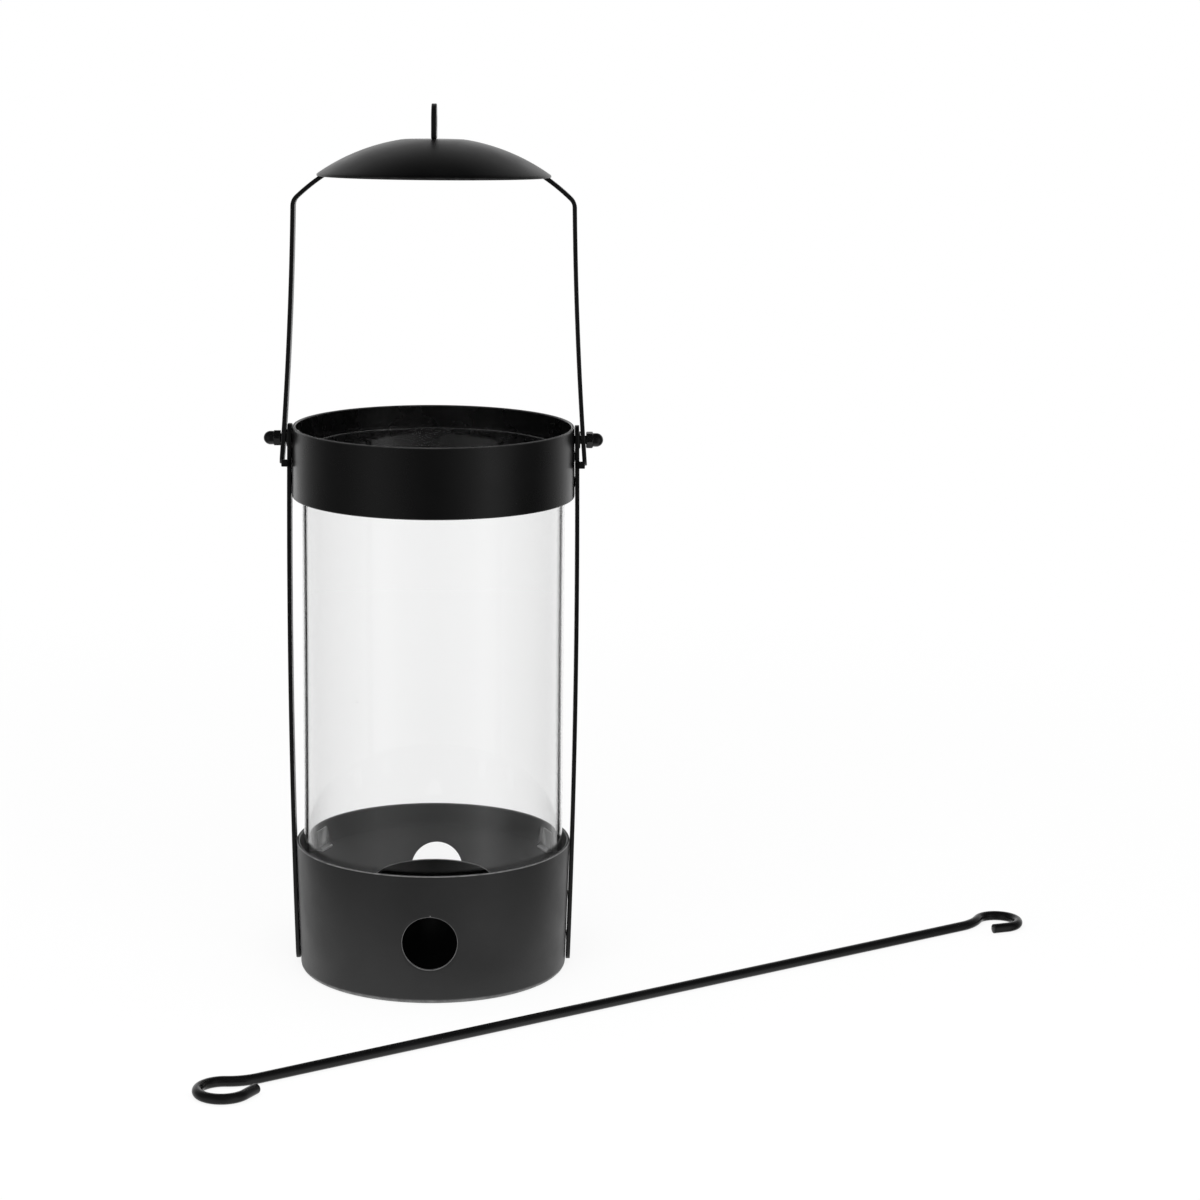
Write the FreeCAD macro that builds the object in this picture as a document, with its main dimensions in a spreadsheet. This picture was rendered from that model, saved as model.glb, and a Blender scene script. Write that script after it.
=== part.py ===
import FreeCAD, Part
import math
import os
import Sketcher

# A hanging bird feeder in black steel and clear glass, with its loose hanging rod.
# Frame: +Z is up, the origin is the middle of the cup's underside, X runs through the two
# pivots and the feeding holes face -Y and +Y.  All sizes are millimetres and degrees.

doc = FreeCAD.newDocument("bird_feeder")
sheet = doc.addObject("Spreadsheet::Sheet", "Dims")

DRIVING_SIZES = [
    # the cup and what stands in it
    ("cup_radius", 65.35, "outer radius of the base cup at its rim"),
    ("foot_radius", 63.6, "outer radius of the cup's wall at its foot"),
    ("cup_height", 62.3, "base cup, floor to rim"),
    ("cup_wall", 1.5, "sheet of the base cup"),
    ("cup_corner", 2.5, "outer corner radius between wall and floor"),
    ("feed_radius", 12.8, "radius of the two feeding holes"),
    ("feed_height", 29.6, "height of the feeding holes' axis"),
    ("pot_radius", 28.2, "outer radius of the centre pot"),
    ("pot_top", 43.9, "rim height of the centre pot"),
    ("pot_wall", 1.0, "sheet of the centre pot"),
    # the glass tube and the angles that carry it
    ("glass_radius", 61.7, "outer radius of the glass tube"),
    ("glass_wall", 2.0, "wall of the glass tube"),
    ("glass_bottom", 51.2, "height of the tube's lower end"),
    ("glass_height", 200.5, "length of the glass tube"),
    ("rim_round", 0.7, "rounding of the tube's melted rims"),
    ("glass_rest", 0.05, "gap under the standing tube"),
    ("angle_fit", 0.3, "gap between a seat's leg and the cup's wall"),
    ("angle_sheet", 1.0, "sheet of the glass seats"),
    ("angle_width", 11.0, "width of a glass seat"),
    ("angle_reach", 6.0, "how far a seat's shelf reaches in"),
    ("angle_rise", 8.5, "how far a seat's leg rises past its shelf"),
    ("angle_bearing", 23.0, "angle of each seat from the X axis"),
    # the collar at the top of the tube
    ("collar_radius", 65.85, "outer radius of the collar at its upper edge"),
    ("collar_foot", 66.2, "outer radius of the collar at its lower edge"),
    ("collar_wall", 1.5, "sheet of the collar"),
    ("collar_bottom", 229.2, "height of the collar's lower edge"),
    ("collar_top", 262.2, "height of the collar's upper edge"),
    # the two side straps
    ("bar_thickness", 2.0, "flat bar of the straps and of the bail"),
    ("bar_width", 10.0, "width of that flat bar"),
    ("strap_bottom", 2.5, "height of a strap's lower end"),
    ("strap_top", 262.8, "height of a strap's upper end"),
    ("strap_bottom_x", 63.85, "inner face of a strap at its lower end"),
    ("strap_top_x", 66.0, "inner face of a strap at its upper end"),
    ("strap_bow", 5500.0, "bow radius of a strap's inner face"),
    ("end_round", 4.6, "corner radius at the ends of the bars"),
    ("lug_bottom", 243.3, "height of the stop lug's lower face"),
    ("lug_height", 3.3, "height of the stop lug"),
    ("lug_reach", 2.8, "how far the stop lug stands out of the strap"),
    ("lug_front", 5.35, "distance of the lug's rear face in front of the pivots"),
    ("lug_root", 1.0, "how far the lug's ear runs into the strap"),
    ("lug_inset", 0.3, "how far the ear lies outside the strap's upper inner edge"),
    ("weld_height_1", 14.0, "lower weld on the cup"),
    ("weld_height_2", 34.0, "upper weld on the cup"),
    ("weld_height_3", 236.0, "lower weld on the collar"),
    ("weld_height_4", 248.0, "upper weld on the collar"),
    ("nugget_radius", 2.5, "radius of a weld nugget"),
    ("nugget_slack", 0.08, "what a nugget leaves free at the bowed strap"),
    # the pivots
    ("pivot_height", 255.9, "height of the pivot axis"),
    ("bolt_radius", 2.0, "M4 shank"),
    ("pivot_bore", 2.07, "hole of the bail on the M4 shank"),
    ("clear_bore", 2.15, "clearance hole for M4"),
    ("head_radius", 3.8, "button head of the pivot screw"),
    ("head_height", 2.0, "height of that head"),
    ("head_seat", 64.27, "where the head bears inside the collar"),
    ("head_edge", 0.55, "straight edge of the head, next to its seat"),
    ("head_crown", 4.18, "radius of the head's crown"),
    ("head_flat", 1.88, "radius of the flat round the socket"),
    ("socket_flats", 2.5, "hexagon socket across flats"),
    ("socket_depth", 1.3, "depth of the hexagon socket"),
    ("tip_chamfer", 0.4, "chamfer at the screw's tip"),
    ("bolt_length", 11.7, "length of the pivot screw under its head"),
    ("washer_start", 68.18, "inner face of the pivot washer"),
    ("washer_radius", 4.0, "outer radius of the pivot washer"),
    ("washer_thickness", 0.43, "pivot washer"),
    ("washer_slack", 0.05, "gap between the washer and the screw"),
    ("nut_start", 71.35, "bearing face of the domed nut"),
    ("nut_flats", 7.0, "domed nut across flats"),
    ("nut_hex_height", 3.2, "hexagon of the domed nut"),
    ("nut_height", 8.0, "whole domed nut"),
    ("nut_chamfer", 0.3, "chamfer at the hexagon's corners, along the axis"),
    ("nut_dome_radius", 3.2, "dome of the nut"),
    ("dome_root", 0.5, "how far the dome's neck runs into the hexagon"),
    ("nut_bore_depth", 5.5, "threaded depth of the nut"),
    ("nut_bore", 2.02, "thread radius of the nut"),
    ("nut_turn", 24.0, "turn of the tightened nuts away from a corner up"),
    ("cut_margin", 1.0, "how far the chamfer's cutting profile runs past the nut"),
    # the bail, in its own frame with the pivots at height 0
    ("lean", 2.8, "angle by which the bail leans back on its stops"),
    ("arm_foot", 12.0, "how far the arms run past the pivots"),
    ("arm_foot_x", 71.85, "outer face of an arm at its foot"),
    ("arm_top", 108.1, "height of the bend above the pivots"),
    ("arm_top_x", 66.1, "outer face of an arm at the bend"),
    ("arm_bow", 2000.0, "bow radius of an arm's outer face"),
    ("shoulder_angle", 43.5, "slope of the arch where it meets the bend"),
    ("shoulder_radius", 7.05, "outer radius of the bend"),
    # the roof, in the bail's frame
    ("roof_radius", 54.2, "radius of the roof's rim"),
    ("roof_ball", 94.0, "radius of the roof's outer surface"),
    ("roof_flat", 13.9, "radius of the flat on top of the roof"),
    ("roof_top", 138.9, "height of that flat above the pivots"),
    ("roof_sheet", 1.2, "sheet of the roof"),
    ("roof_gap", 0.2, "gap between the roof and the bail's arch"),
    # the hanging eye on top of the roof
    ("eye_plate", 2.5, "plate of the hanging eye"),
    ("eye_round", 8.5, "outer radius of the eye"),
    ("eye_hole", 3.7, "radius of the eye's hole"),
    ("eye_rise", 7.8, "height of the hole's centre above the roof"),
    ("tenon_width", 8.0, "width of the eye's tenon"),
    ("tenon_slack", 0.1, "play of the tenon in its slots, each side"),
    ("tenon_root", 1.0, "how far the tenon runs up into the plate"),
    ("peen_spread", 0.7, "how far the peened head spreads each side"),
    ("peen_height", 1.0, "height of the peened head"),
    # the loose hanging rod, in its own frame with the shaft along X
    ("wire_radius", 2.35, "radius of the rod"),
    ("rod_x", -71.2, "start of the straight shaft"),
    ("rod_y", -169.9, "start of the straight shaft"),
    ("rod_turn", 33.76, "bearing of the shaft on the ground"),
    ("shaft_length", 402.0, "straight shaft between its two kinks"),
    ("kink_angle", 35.0, "turn of each kink"),
    ("loop_radius", 11.0, "centreline radius of the closed eye"),
    ("loop_offset", 4.8, "centre of the eye beside the shaft's line"),
    ("loop_end_angle", 297.0, "where the eye's curl ends"),
    ("loop_tip", 9.0, "straight tip of the eye"),
    ("hook_radius", 10.2, "centreline radius of the open hook"),
    ("hook_offset", 3.8, "centre of the hook beside the shaft's line"),
    ("hook_end_angle", -105.0, "where the hook's curl ends"),
    ("hook_tip", 7.5, "straight tip of the hook"),
]

for row, (alias, size, meaning) in enumerate(DRIVING_SIZES, start=1):
    sheet.set(f"A{row}", alias)
    sheet.set(f"B{row}", str(size))
    sheet.set(f"C{row}", meaning)
    sheet.setAlias(f"B{row}", alias)
doc.recompute()


def cells(formula):
    """The formula with each @name turned into the spreadsheet's cell of that name."""
    return formula.replace("@", "Dims.")


def value(formula):
    """What a formula comes to with the sizes in the spreadsheet."""
    result = sheet.evalExpression(cells(formula))
    return float(getattr(result, "Value", result))


# ---------------------------------------------------------------- sketches and features

def new_body(label):
    body = doc.addObject("PartDesign::Body", label)
    body.Label = label
    return body


def origin_feature(body, role):
    return next(item for item in body.Origin.OriginFeatures if item.Role == role)


def new_sketch(body, name, plane):
    sketch = body.newObject("Sketcher::SketchObject", name)
    sketch.AttachmentSupport = (origin_feature(body, plane), [""])
    sketch.MapMode = "FlatFace"
    return sketch


def pin(sketch, edge, end, x_formula, y_formula):
    """Holds one end of an edge at the place that two formulas give."""
    for kind, formula in (("DistanceX", x_formula), ("DistanceY", y_formula)):
        rule = Sketcher.Constraint(kind, -1, 1, edge, end, value(formula))
        index = sketch.addConstraint(rule)
        sketch.setExpression(f"Constraints[{index}]", cells(formula))


def add_circle(sketch, x_formula, y_formula, radius_formula):
    centre = FreeCAD.Vector(value(x_formula), value(y_formula), 0)
    circle = Part.Circle(centre, FreeCAD.Vector(0, 0, 1), value(radius_formula))
    edge = sketch.addGeometry(circle, False)
    pin(sketch, edge, 3, x_formula, y_formula)
    rule = Sketcher.Constraint("Radius", edge, value(radius_formula))
    index = sketch.addConstraint(rule)
    sketch.setExpression(f"Constraints[{index}]", cells(radius_formula))


def arc_between(start, stop, radius, side):
    """The arc of that radius from start to stop, with its centre on the left (side 1) or
    the right (side -1) of the way from start to stop, and less than half a turn."""
    chord = stop - start
    rise = math.sqrt(max(radius ** 2 - chord.Length ** 2 / 4, 0))
    left = FreeCAD.Vector(-chord.y, chord.x, 0).normalize()
    centre = (start + stop) * 0.5 + left * rise * side
    first, last = (start, stop) if side > 0 else (stop, start)
    angles = [math.atan2(point.y - centre.y, point.x - centre.x) for point in (first, last)]
    circle = Part.Circle(centre, FreeCAD.Vector(0, 0, 1), radius)
    return Part.ArcOfCircle(circle, angles[0], angles[1])


def add_path(sketch, corners, closed=True):
    """A chain of lines and arcs through the corners.

    A corner is (x, y) in formulas, or (x, y, radius, side) where the edge that leaves it is
    an arc.  Every corner is pinned and every radius bound, so the sketch is fully set.
    """
    places = [FreeCAD.Vector(value(corner[0]), value(corner[1]), 0) for corner in corners]
    count = len(corners) if closed else len(corners) - 1
    ends = []
    for index in range(count):
        start = places[index]
        stop = places[(index + 1) % len(places)]
        if len(corners[index]) == 2:
            edge = sketch.addGeometry(Part.LineSegment(start, stop), False)
            ends.append((edge, 1, 2))
            continue
        radius, side = corners[index][2:]
        edge = sketch.addGeometry(arc_between(start, stop, value(radius), side), False)
        ends.append((edge, 1, 2) if side > 0 else (edge, 2, 1))
        rule = Sketcher.Constraint("Radius", edge, value(radius))
        rule_index = sketch.addConstraint(rule)
        sketch.setExpression(f"Constraints[{rule_index}]", cells(radius))
    for index in range(count):
        edge, first, last = ends[index]
        pin(sketch, edge, first, corners[index][0], corners[index][1])
        if index + 1 < count or closed:
            following = ends[(index + 1) % count]
            sketch.addConstraint(Sketcher.Constraint("Coincident", edge, last, following[0], following[1]))
    if not closed:
        edge, first, last = ends[-1]
        pin(sketch, edge, last, corners[-1][0], corners[-1][1])


def rectangle(x_low, x_high, y_low, y_high):
    return [(x_low, y_low), (x_high, y_low), (x_high, y_high), (x_low, y_high)]


def pad(body, name, sketch, length, symmetric=True):
    feature = body.newObject("PartDesign::Pad", name)
    feature.Profile = (sketch, [""])
    feature.setExpression("Length", cells(length))
    if symmetric:
        feature.SideType = "Symmetric"
    return feature


def pocket(body, name, sketch):
    """Cuts the sketch's shape right through the body, both ways."""
    feature = body.newObject("PartDesign::Pocket", name)
    feature.Profile = (sketch, [""])
    feature.Type = "ThroughAll"
    feature.SideType = "Symmetric"
    return feature


def revolve(body, name, sketch, axis):
    feature = body.newObject("PartDesign::Revolution", name)
    feature.Profile = (sketch, [""])
    feature.ReferenceAxis = (sketch, [axis])
    feature.Angle = 360
    return feature


def fillet(body, name, base, wanted, radius):
    """Rounds the edges of base that the test wanted(edge) picks."""
    doc.recompute()
    edges = base.Shape.Edges
    names = [f"Edge{number}" for number, edge in enumerate(edges, start=1) if wanted(edge)]
    feature = body.newObject("PartDesign::Fillet", name)
    feature.Base = (base, names)
    feature.setExpression("Radius", cells(radius))
    return feature


def lift(thing, height):
    thing.setExpression(".Placement.Base.z", cells(height))


def turn(thing, axis, angle):
    """Turns a whole sub-part about an axis of the frame by a number or a formula."""
    start_angle = angle if isinstance(angle, (int, float)) else value(angle)
    thing.Placement = FreeCAD.Placement(FreeCAD.Vector(0, 0, 0), FreeCAD.Rotation(axis, start_angle))
    if isinstance(angle, str):
        thing.setExpression(".Placement.Rotation.Angle", cells(angle))


X_AXIS = FreeCAD.Vector(1, 0, 0)
Y_AXIS = FreeCAD.Vector(0, 1, 0)
Z_AXIS = FreeCAD.Vector(0, 0, 1)
SIDES = (("left", 180), ("right", 0))

sub_parts = []


# ---------------------------------------------------------------- base cup and centre pot

def cup_face(height):
    """Outer radius of the cup's wall, which widens from foot to rim, as a formula."""
    rise = f"({height} - @cup_corner) / (@cup_height - @cup_corner)"
    return f"(@foot_radius + (@cup_radius - @foot_radius) * {rise})"


def make_base_cup():
    """Deep-drawn cup: open top, flat floor, one feeding hole in front and one behind."""
    body = new_body("base_cup")
    profile = new_sketch(body, "cup_profile", "XZ_Plane")
    add_path(profile, [
        ("0", "0"),
        ("@foot_radius - @cup_corner", "0", "@cup_corner", 1),
        ("@foot_radius", "@cup_corner"),
        ("@cup_radius", "@cup_height"),
        ("@cup_radius - @cup_wall", "@cup_height"),
        ("@foot_radius - @cup_wall", "@cup_corner", "@cup_corner - @cup_wall", -1),
        ("@foot_radius - @cup_corner", "@cup_wall"),
        ("0", "@cup_wall"),
    ])
    revolve(body, "cup_turned", profile, "V_Axis")
    holes = new_sketch(body, "feeding_hole_outline", "XZ_Plane")
    add_circle(holes, "0", "@feed_height", "@feed_radius")
    pocket(body, "feeding_holes", holes)
    sub_parts.append(body)


def make_centre_pot():
    """Thin pot that stands on the cup's floor, in the middle."""
    body = new_body("centre_pot")
    profile = new_sketch(body, "pot_profile", "XZ_Plane")
    add_path(profile, [
        ("0", "@cup_wall"),
        ("@pot_radius", "@cup_wall"),
        ("@pot_radius", "@pot_top"),
        ("@pot_radius - @pot_wall", "@pot_top"),
        ("@pot_radius - @pot_wall", "@cup_wall + @pot_wall"),
        ("0", "@cup_wall + @pot_wall"),
    ])
    revolve(body, "pot_turned", profile, "V_Axis")
    sub_parts.append(body)


# ---------------------------------------------------------------- glass tube and its seats

def make_glass_tube():
    body = new_body("glass_tube")
    ring = new_sketch(body, "tube_section", "XY_Plane")
    add_circle(ring, "0", "0", "@glass_radius")
    add_circle(ring, "0", "0", "@glass_radius - @glass_wall")
    wall = pad(body, "tube_wall", ring, "@glass_height", symmetric=False)
    fillet(body, "melted_rims", wall, lambda edge: True, "@rim_round")
    lift(body, "@glass_bottom + @glass_rest")
    sub_parts.append(body)


def make_glass_seats():
    """Small sheet angles on the cup's wall: the shelf carries the tube, the leg centres it."""
    corners = (("front_right", -1, 0), ("back_right", 1, 0), ("back_left", -1, 180), ("front_left", 1, 180))
    for place, sign, half_turn in corners:
        body = new_body(f"glass_seat_{place}")
        outer = f"{cup_face('@glass_bottom')} - @cup_wall - @angle_fit"
        profile = new_sketch(body, f"seat_profile_{place}", "XZ_Plane")
        add_path(profile, [
            (f"{outer} - @angle_reach", "-@angle_sheet"),
            (outer, "-@angle_sheet"),
            (outer, "@angle_rise"),
            (f"{outer} - @angle_sheet", "@angle_rise"),
            (f"{outer} - @angle_sheet", "0"),
            (f"{outer} - @angle_reach", "0"),
        ])
        pad(body, f"seat_sheet_{place}", profile, "@angle_width")
        turn(body, Z_AXIS, f"{sign} * @angle_bearing + {half_turn}")
        lift(body, "@glass_bottom")
        sub_parts.append(body)


# ---------------------------------------------------------------- collar, side straps, welds

def collar_face(height):
    """Outer radius of the collar, which narrows a little towards its upper edge, as a formula."""
    rise = f"({height} - @collar_bottom) / (@collar_top - @collar_bottom)"
    return f"(@collar_foot + (@collar_radius - @collar_foot) * {rise})"


def make_collar():
    body = new_body("top_collar")
    profile = new_sketch(body, "collar_profile", "XZ_Plane")
    add_path(profile, [
        ("@collar_foot - @collar_wall", "@collar_bottom"),
        ("@collar_foot", "@collar_bottom"),
        ("@collar_radius", "@collar_top"),
        ("@collar_radius - @collar_wall", "@collar_top"),
    ])
    revolve(body, "collar_band", profile, "V_Axis")
    bore = new_sketch(body, "collar_bolt_hole", "YZ_Plane")
    add_circle(bore, "0", "@pivot_height", "@clear_bore")
    pocket(body, "collar_bolt_holes", bore)
    sub_parts.append(body)


def make_side_strap(side, half_turn):
    """Flat bar from the cup to the collar, a little bowed, with a lug that stops the bail."""
    body = new_body(f"side_strap_{side}")
    profile = new_sketch(body, f"strap_profile_{side}", "XZ_Plane")
    add_path(profile, [
        ("@strap_bottom_x", "@strap_bottom"),
        ("@strap_bottom_x + @bar_thickness", "@strap_bottom", "@strap_bow + @bar_thickness", 1),
        ("@strap_top_x + @bar_thickness", "@strap_top"),
        ("@strap_top_x", "@strap_top", "@strap_bow", -1),
    ])
    bar = pad(body, f"strap_bar_{side}", profile, "@bar_width")
    fillet(body, f"strap_ends_{side}", bar, is_end_corner, "@end_round")

    lug_inner = "@strap_top_x + @lug_inset"
    lug_outer = "@strap_top_x + @bar_thickness + @lug_reach"
    lug_top = "@lug_bottom + @lug_height"
    ear = new_sketch(body, f"lug_ear_outline_{side}", "XZ_Plane")
    add_path(ear, rectangle(lug_inner, "@strap_top_x + @bar_thickness", "@lug_bottom", lug_top))
    lug = new_sketch(body, f"lug_outline_{side}", "XZ_Plane")
    add_path(lug, rectangle(lug_inner, lug_outer, "@lug_bottom", lug_top))
    if half_turn:
        # the turned strap carries its lug on the other side of its own frame
        ear_start = lug_start = "-(@lug_front + @bar_thickness)"
    else:
        ear_start = "@bar_width / 2 - @lug_root"
        lug_start = "@lug_front"
    ear.setExpression(".AttachmentOffset.Base.z", cells(ear_start))
    lug.setExpression(".AttachmentOffset.Base.z", cells(lug_start))
    ear_length = "@lug_front - @bar_width / 2 + @lug_root + @bar_thickness"
    pad(body, f"lug_ear_{side}", ear, ear_length, symmetric=False)
    pad(body, f"lug_{side}", lug, "@bar_thickness", symmetric=False)

    bore = new_sketch(body, f"strap_bolt_hole_outline_{side}", "YZ_Plane")
    add_circle(bore, "0", "@pivot_height", "@clear_bore")
    pocket(body, f"strap_bolt_hole_{side}", bore)
    turn(body, Z_AXIS, half_turn)
    sub_parts.append(body)


def is_end_corner(edge):
    """True for the short edges across a bar's thickness at its ends."""
    longest = 1.5 * value("@bar_thickness")
    nearly_along = 0.9
    if not isinstance(edge.Curve, Part.Line):
        return False
    return edge.Length < longest and abs(edge.tangentAt(0).x) > nearly_along


def strap_face(height):
    """Distance from the axis to a strap's bowed inner face at that height."""
    lower = FreeCAD.Vector(value("@strap_bottom_x"), value("@strap_bottom"), 0)
    upper = FreeCAD.Vector(value("@strap_top_x"), value("@strap_top"), 0)
    circle = arc_between(lower, upper, value("@strap_bow"), 1)
    return circle.Center.x + math.sqrt(circle.Radius ** 2 - (height - circle.Center.y) ** 2)


def make_weld_nuggets():
    """The spot welds that hold each strap to the cup and to the collar."""
    # each nugget starts where the sloping wall stands out most under it
    welded_to = [
        ("cup_low", "@weld_height_1", cup_face("(@weld_height_1 + @nugget_radius)")),
        ("cup_high", "@weld_height_2", cup_face("(@weld_height_2 + @nugget_radius)")),
        ("collar_low", "@weld_height_3", collar_face("(@weld_height_3 - @nugget_radius)")),
        ("collar_high", "@weld_height_4", collar_face("(@weld_height_4 - @nugget_radius)")),
    ]
    nuggets = []
    for side, half_turn in SIDES:
        direction = math.cos(math.radians(half_turn))
        for place, height_cell, wall in welded_to:
            height = value(height_cell)
            nugget = doc.addObject("Part::Cylinder", f"nugget_{side}_{place}")
            nugget.setExpression("Radius", cells("@nugget_radius"))
            reach = strap_face(height) - value(wall)
            nugget.setExpression("Height", cells(f"{reach} - @nugget_slack"))
            base = FreeCAD.Vector(direction * value(wall), 0, height)
            nugget.Placement = FreeCAD.Placement(base, FreeCAD.Rotation(Y_AXIS, 90 * direction))
            nuggets.append(nugget)
    group = doc.addObject("Part::Compound", "strap_welds")
    group.Links = nuggets
    group.Label = "strap_welds"
    sub_parts.append(group)


# ---------------------------------------------------------------- pivots

def make_pivot_screw(side, half_turn):
    """M4 screw with a low round head inside the collar and a hexagon socket."""
    body = new_body(f"pivot_screw_{side}")
    profile = new_sketch(body, f"screw_profile_{side}", "XZ_Plane")
    add_path(profile, [
        ("@head_seat - @head_height", "0"),
        ("@head_seat + @bolt_length", "0"),
        ("@head_seat + @bolt_length", "@bolt_radius - @tip_chamfer"),
        ("@head_seat + @bolt_length - @tip_chamfer", "@bolt_radius"),
        ("@head_seat", "@bolt_radius"),
        ("@head_seat", "@head_radius"),
        ("@head_seat - @head_edge", "@head_radius", "@head_crown", 1),
        ("@head_seat - @head_height", "@head_flat"),
    ])
    revolve(body, f"screw_turned_{side}", profile, "H_Axis")
    socket = new_sketch(body, f"screw_socket_outline_{side}", "YZ_Plane")
    add_path(socket, hexagon("@socket_flats"))
    socket.setExpression(".AttachmentOffset.Base.z", cells("@head_seat - @head_height"))
    cut = body.newObject("PartDesign::Pocket", f"screw_socket_{side}")
    cut.Profile = (socket, [""])
    cut.setExpression("Length", cells("@socket_depth"))
    cut.Reversed = True
    turn(body, Z_AXIS, half_turn)
    lift(body, "@pivot_height")
    sub_parts.append(body)


def hexagon(flats, turned="0"):
    """The six corners of a hexagon, a corner up if it is not turned, in formulas."""
    reach = f"{flats} / 2 / cos(30)"
    angles = [f"({60 * step} + {turned})" for step in range(6)]
    return [(f"{reach} * sin({angle})", f"{reach} * cos({angle})") for angle in angles]


def make_pivot_washer(side, half_turn):
    body = new_body(f"pivot_washer_{side}")
    profile = new_sketch(body, f"washer_profile_{side}", "XZ_Plane")
    add_path(profile, rectangle("@washer_start", "@washer_start + @washer_thickness",
                                "@bolt_radius + @washer_slack", "@washer_radius"))
    revolve(body, f"washer_turned_{side}", profile, "H_Axis")
    turn(body, Z_AXIS, half_turn)
    lift(body, "@pivot_height")
    sub_parts.append(body)


def make_domed_nut(side, half_turn):
    """M4 domed nut: chamfered hexagon, short neck and half ball, with a blind thread bore."""
    body = new_body(f"domed_nut_{side}")
    outline = new_sketch(body, f"nut_hexagon_{side}", "YZ_Plane")
    add_path(outline, hexagon("@nut_flats", "@nut_turn"))
    outline.setExpression(".AttachmentOffset.Base.z", cells("@nut_start"))
    pad(body, f"nut_prism_{side}", outline, "@nut_hex_height", symmetric=False)

    reach = "@nut_flats / 2 / cos(30)"
    corner_cut = new_sketch(body, f"nut_chamfer_profile_{side}", "XZ_Plane")
    add_path(corner_cut, [
        ("@nut_start + @nut_hex_height", "@nut_flats / 2"),
        ("@nut_start + @nut_hex_height", f"{reach} + @cut_margin"),
        ("@nut_start + @nut_hex_height - @cut_margin", f"{reach} + @cut_margin"),
        ("@nut_start + @nut_hex_height - @nut_chamfer", reach),
    ])
    groove = body.newObject("PartDesign::Groove", f"nut_chamfer_{side}")
    groove.Profile = (corner_cut, [""])
    groove.ReferenceAxis = (corner_cut, ["H_Axis"])
    groove.Angle = 360

    dome = new_sketch(body, f"nut_dome_profile_{side}", "XZ_Plane")
    add_path(dome, [
        ("@nut_start + @nut_hex_height - @dome_root", "0"),
        ("@nut_start + @nut_height", "0", "@nut_dome_radius", 1),
        ("@nut_start + @nut_height - @nut_dome_radius", "@nut_dome_radius"),
        ("@nut_start + @nut_hex_height - @dome_root", "@nut_dome_radius"),
    ])
    revolve(body, f"nut_dome_{side}", dome, "H_Axis")

    bore = new_sketch(body, f"nut_bore_outline_{side}", "YZ_Plane")
    add_circle(bore, "0", "0", "@nut_bore")
    bore.setExpression(".AttachmentOffset.Base.z", cells("@nut_start"))
    cut = body.newObject("PartDesign::Pocket", f"nut_thread_bore_{side}")
    cut.Profile = (bore, [""])
    cut.setExpression("Length", cells("@nut_bore_depth"))
    cut.Reversed = True
    turn(body, Z_AXIS, half_turn)
    lift(body, "@pivot_height")
    sub_parts.append(body)


# ---------------------------------------------------------------- bail, roof and hanging eye

BALL_CENTRE = "(@roof_top - sqrt(@roof_ball ^ 2 - @roof_flat ^ 2))"
ARCH_BALL = "(@roof_ball - @roof_sheet - @roof_gap)"
ARCH_FLAT = "(@roof_top - @roof_sheet - @roof_gap)"


def arch_corners(ball, flat, inset):
    """Half of one face of the bail, from the foot of the +X arm to the flat of the arch.

    ball and flat are that face's arch radius and height, inset its depth under the outer face.
    """
    shoulder = f"({ball} * sin(@shoulder_angle))"
    return [
        (f"@arm_foot_x - {inset}", "-@arm_foot", f"@arm_bow + {inset}", -1),
        (f"@arm_top_x - {inset}", "@arm_top", f"@shoulder_radius - {inset}", 1),
        (shoulder, f"{BALL_CENTRE} + {ball} * cos(@shoulder_angle)", ball, 1),
        (f"sqrt({ball} ^ 2 - ({flat} - {BALL_CENTRE}) ^ 2)", flat),
    ]


def mirrored(corners):
    """The same face on the -X side, walked back from the flat to the foot."""
    walked = []
    for index in range(len(corners) - 1, -1, -1):
        x_formula, y_formula = corners[index][:2]
        before = corners[index - 1] if index > 0 else ()
        walked.append((f"-({x_formula})", y_formula) + tuple(before[2:]))
    return walked


def backwards(corners):
    """The same open chain walked the other way, with each arc's side turned over."""
    walked = []
    for index in range(len(corners) - 1, -1, -1):
        before = corners[index - 1] if index > 0 else ()
        curve = (before[2], -before[3]) if len(before) == 4 else ()
        walked.append(tuple(corners[index][:2]) + curve)
    return walked


def lean_back(thing):
    """Sets a piece of the bail on the pivots, leaning back on the stop lugs."""
    turn(thing, X_AXIS, "-@lean")
    lift(thing, "@pivot_height")


def make_bail():
    """One flat bar bent into two long arms and an arch that carries the roof."""
    body = new_body("bail")
    outer = arch_corners(ARCH_BALL, ARCH_FLAT, "0")
    under_arch = [f"({face} - @bar_thickness)" for face in (ARCH_BALL, ARCH_FLAT)]
    inner = arch_corners(*under_arch, "@bar_thickness")
    outer_walk = outer + mirrored(outer)
    inner_walk = inner + mirrored(inner)
    profile = new_sketch(body, "bail_profile", "XZ_Plane")
    add_path(profile, outer_walk + backwards(inner_walk))
    bar = pad(body, "bail_bar", profile, "@bar_width")
    fillet(body, "bail_feet", bar, is_end_corner, "@end_round")
    bore = new_sketch(body, "bail_pivot_outline", "YZ_Plane")
    add_circle(bore, "0", "0", "@pivot_bore")
    pocket(body, "bail_pivot_bores", bore)
    slot = new_sketch(body, "bail_slot_outline", "XY_Plane")
    add_path(slot, tenon_slot())
    pocket(body, "bail_slot", slot)
    lean_back(body)
    sub_parts.append(body)


def tenon_slot():
    half_x = "(@eye_plate / 2 + @tenon_slack)"
    half_y = "(@tenon_width / 2 + @tenon_slack)"
    return rectangle(f"-{half_x}", half_x, f"-{half_y}", half_y)


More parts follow.
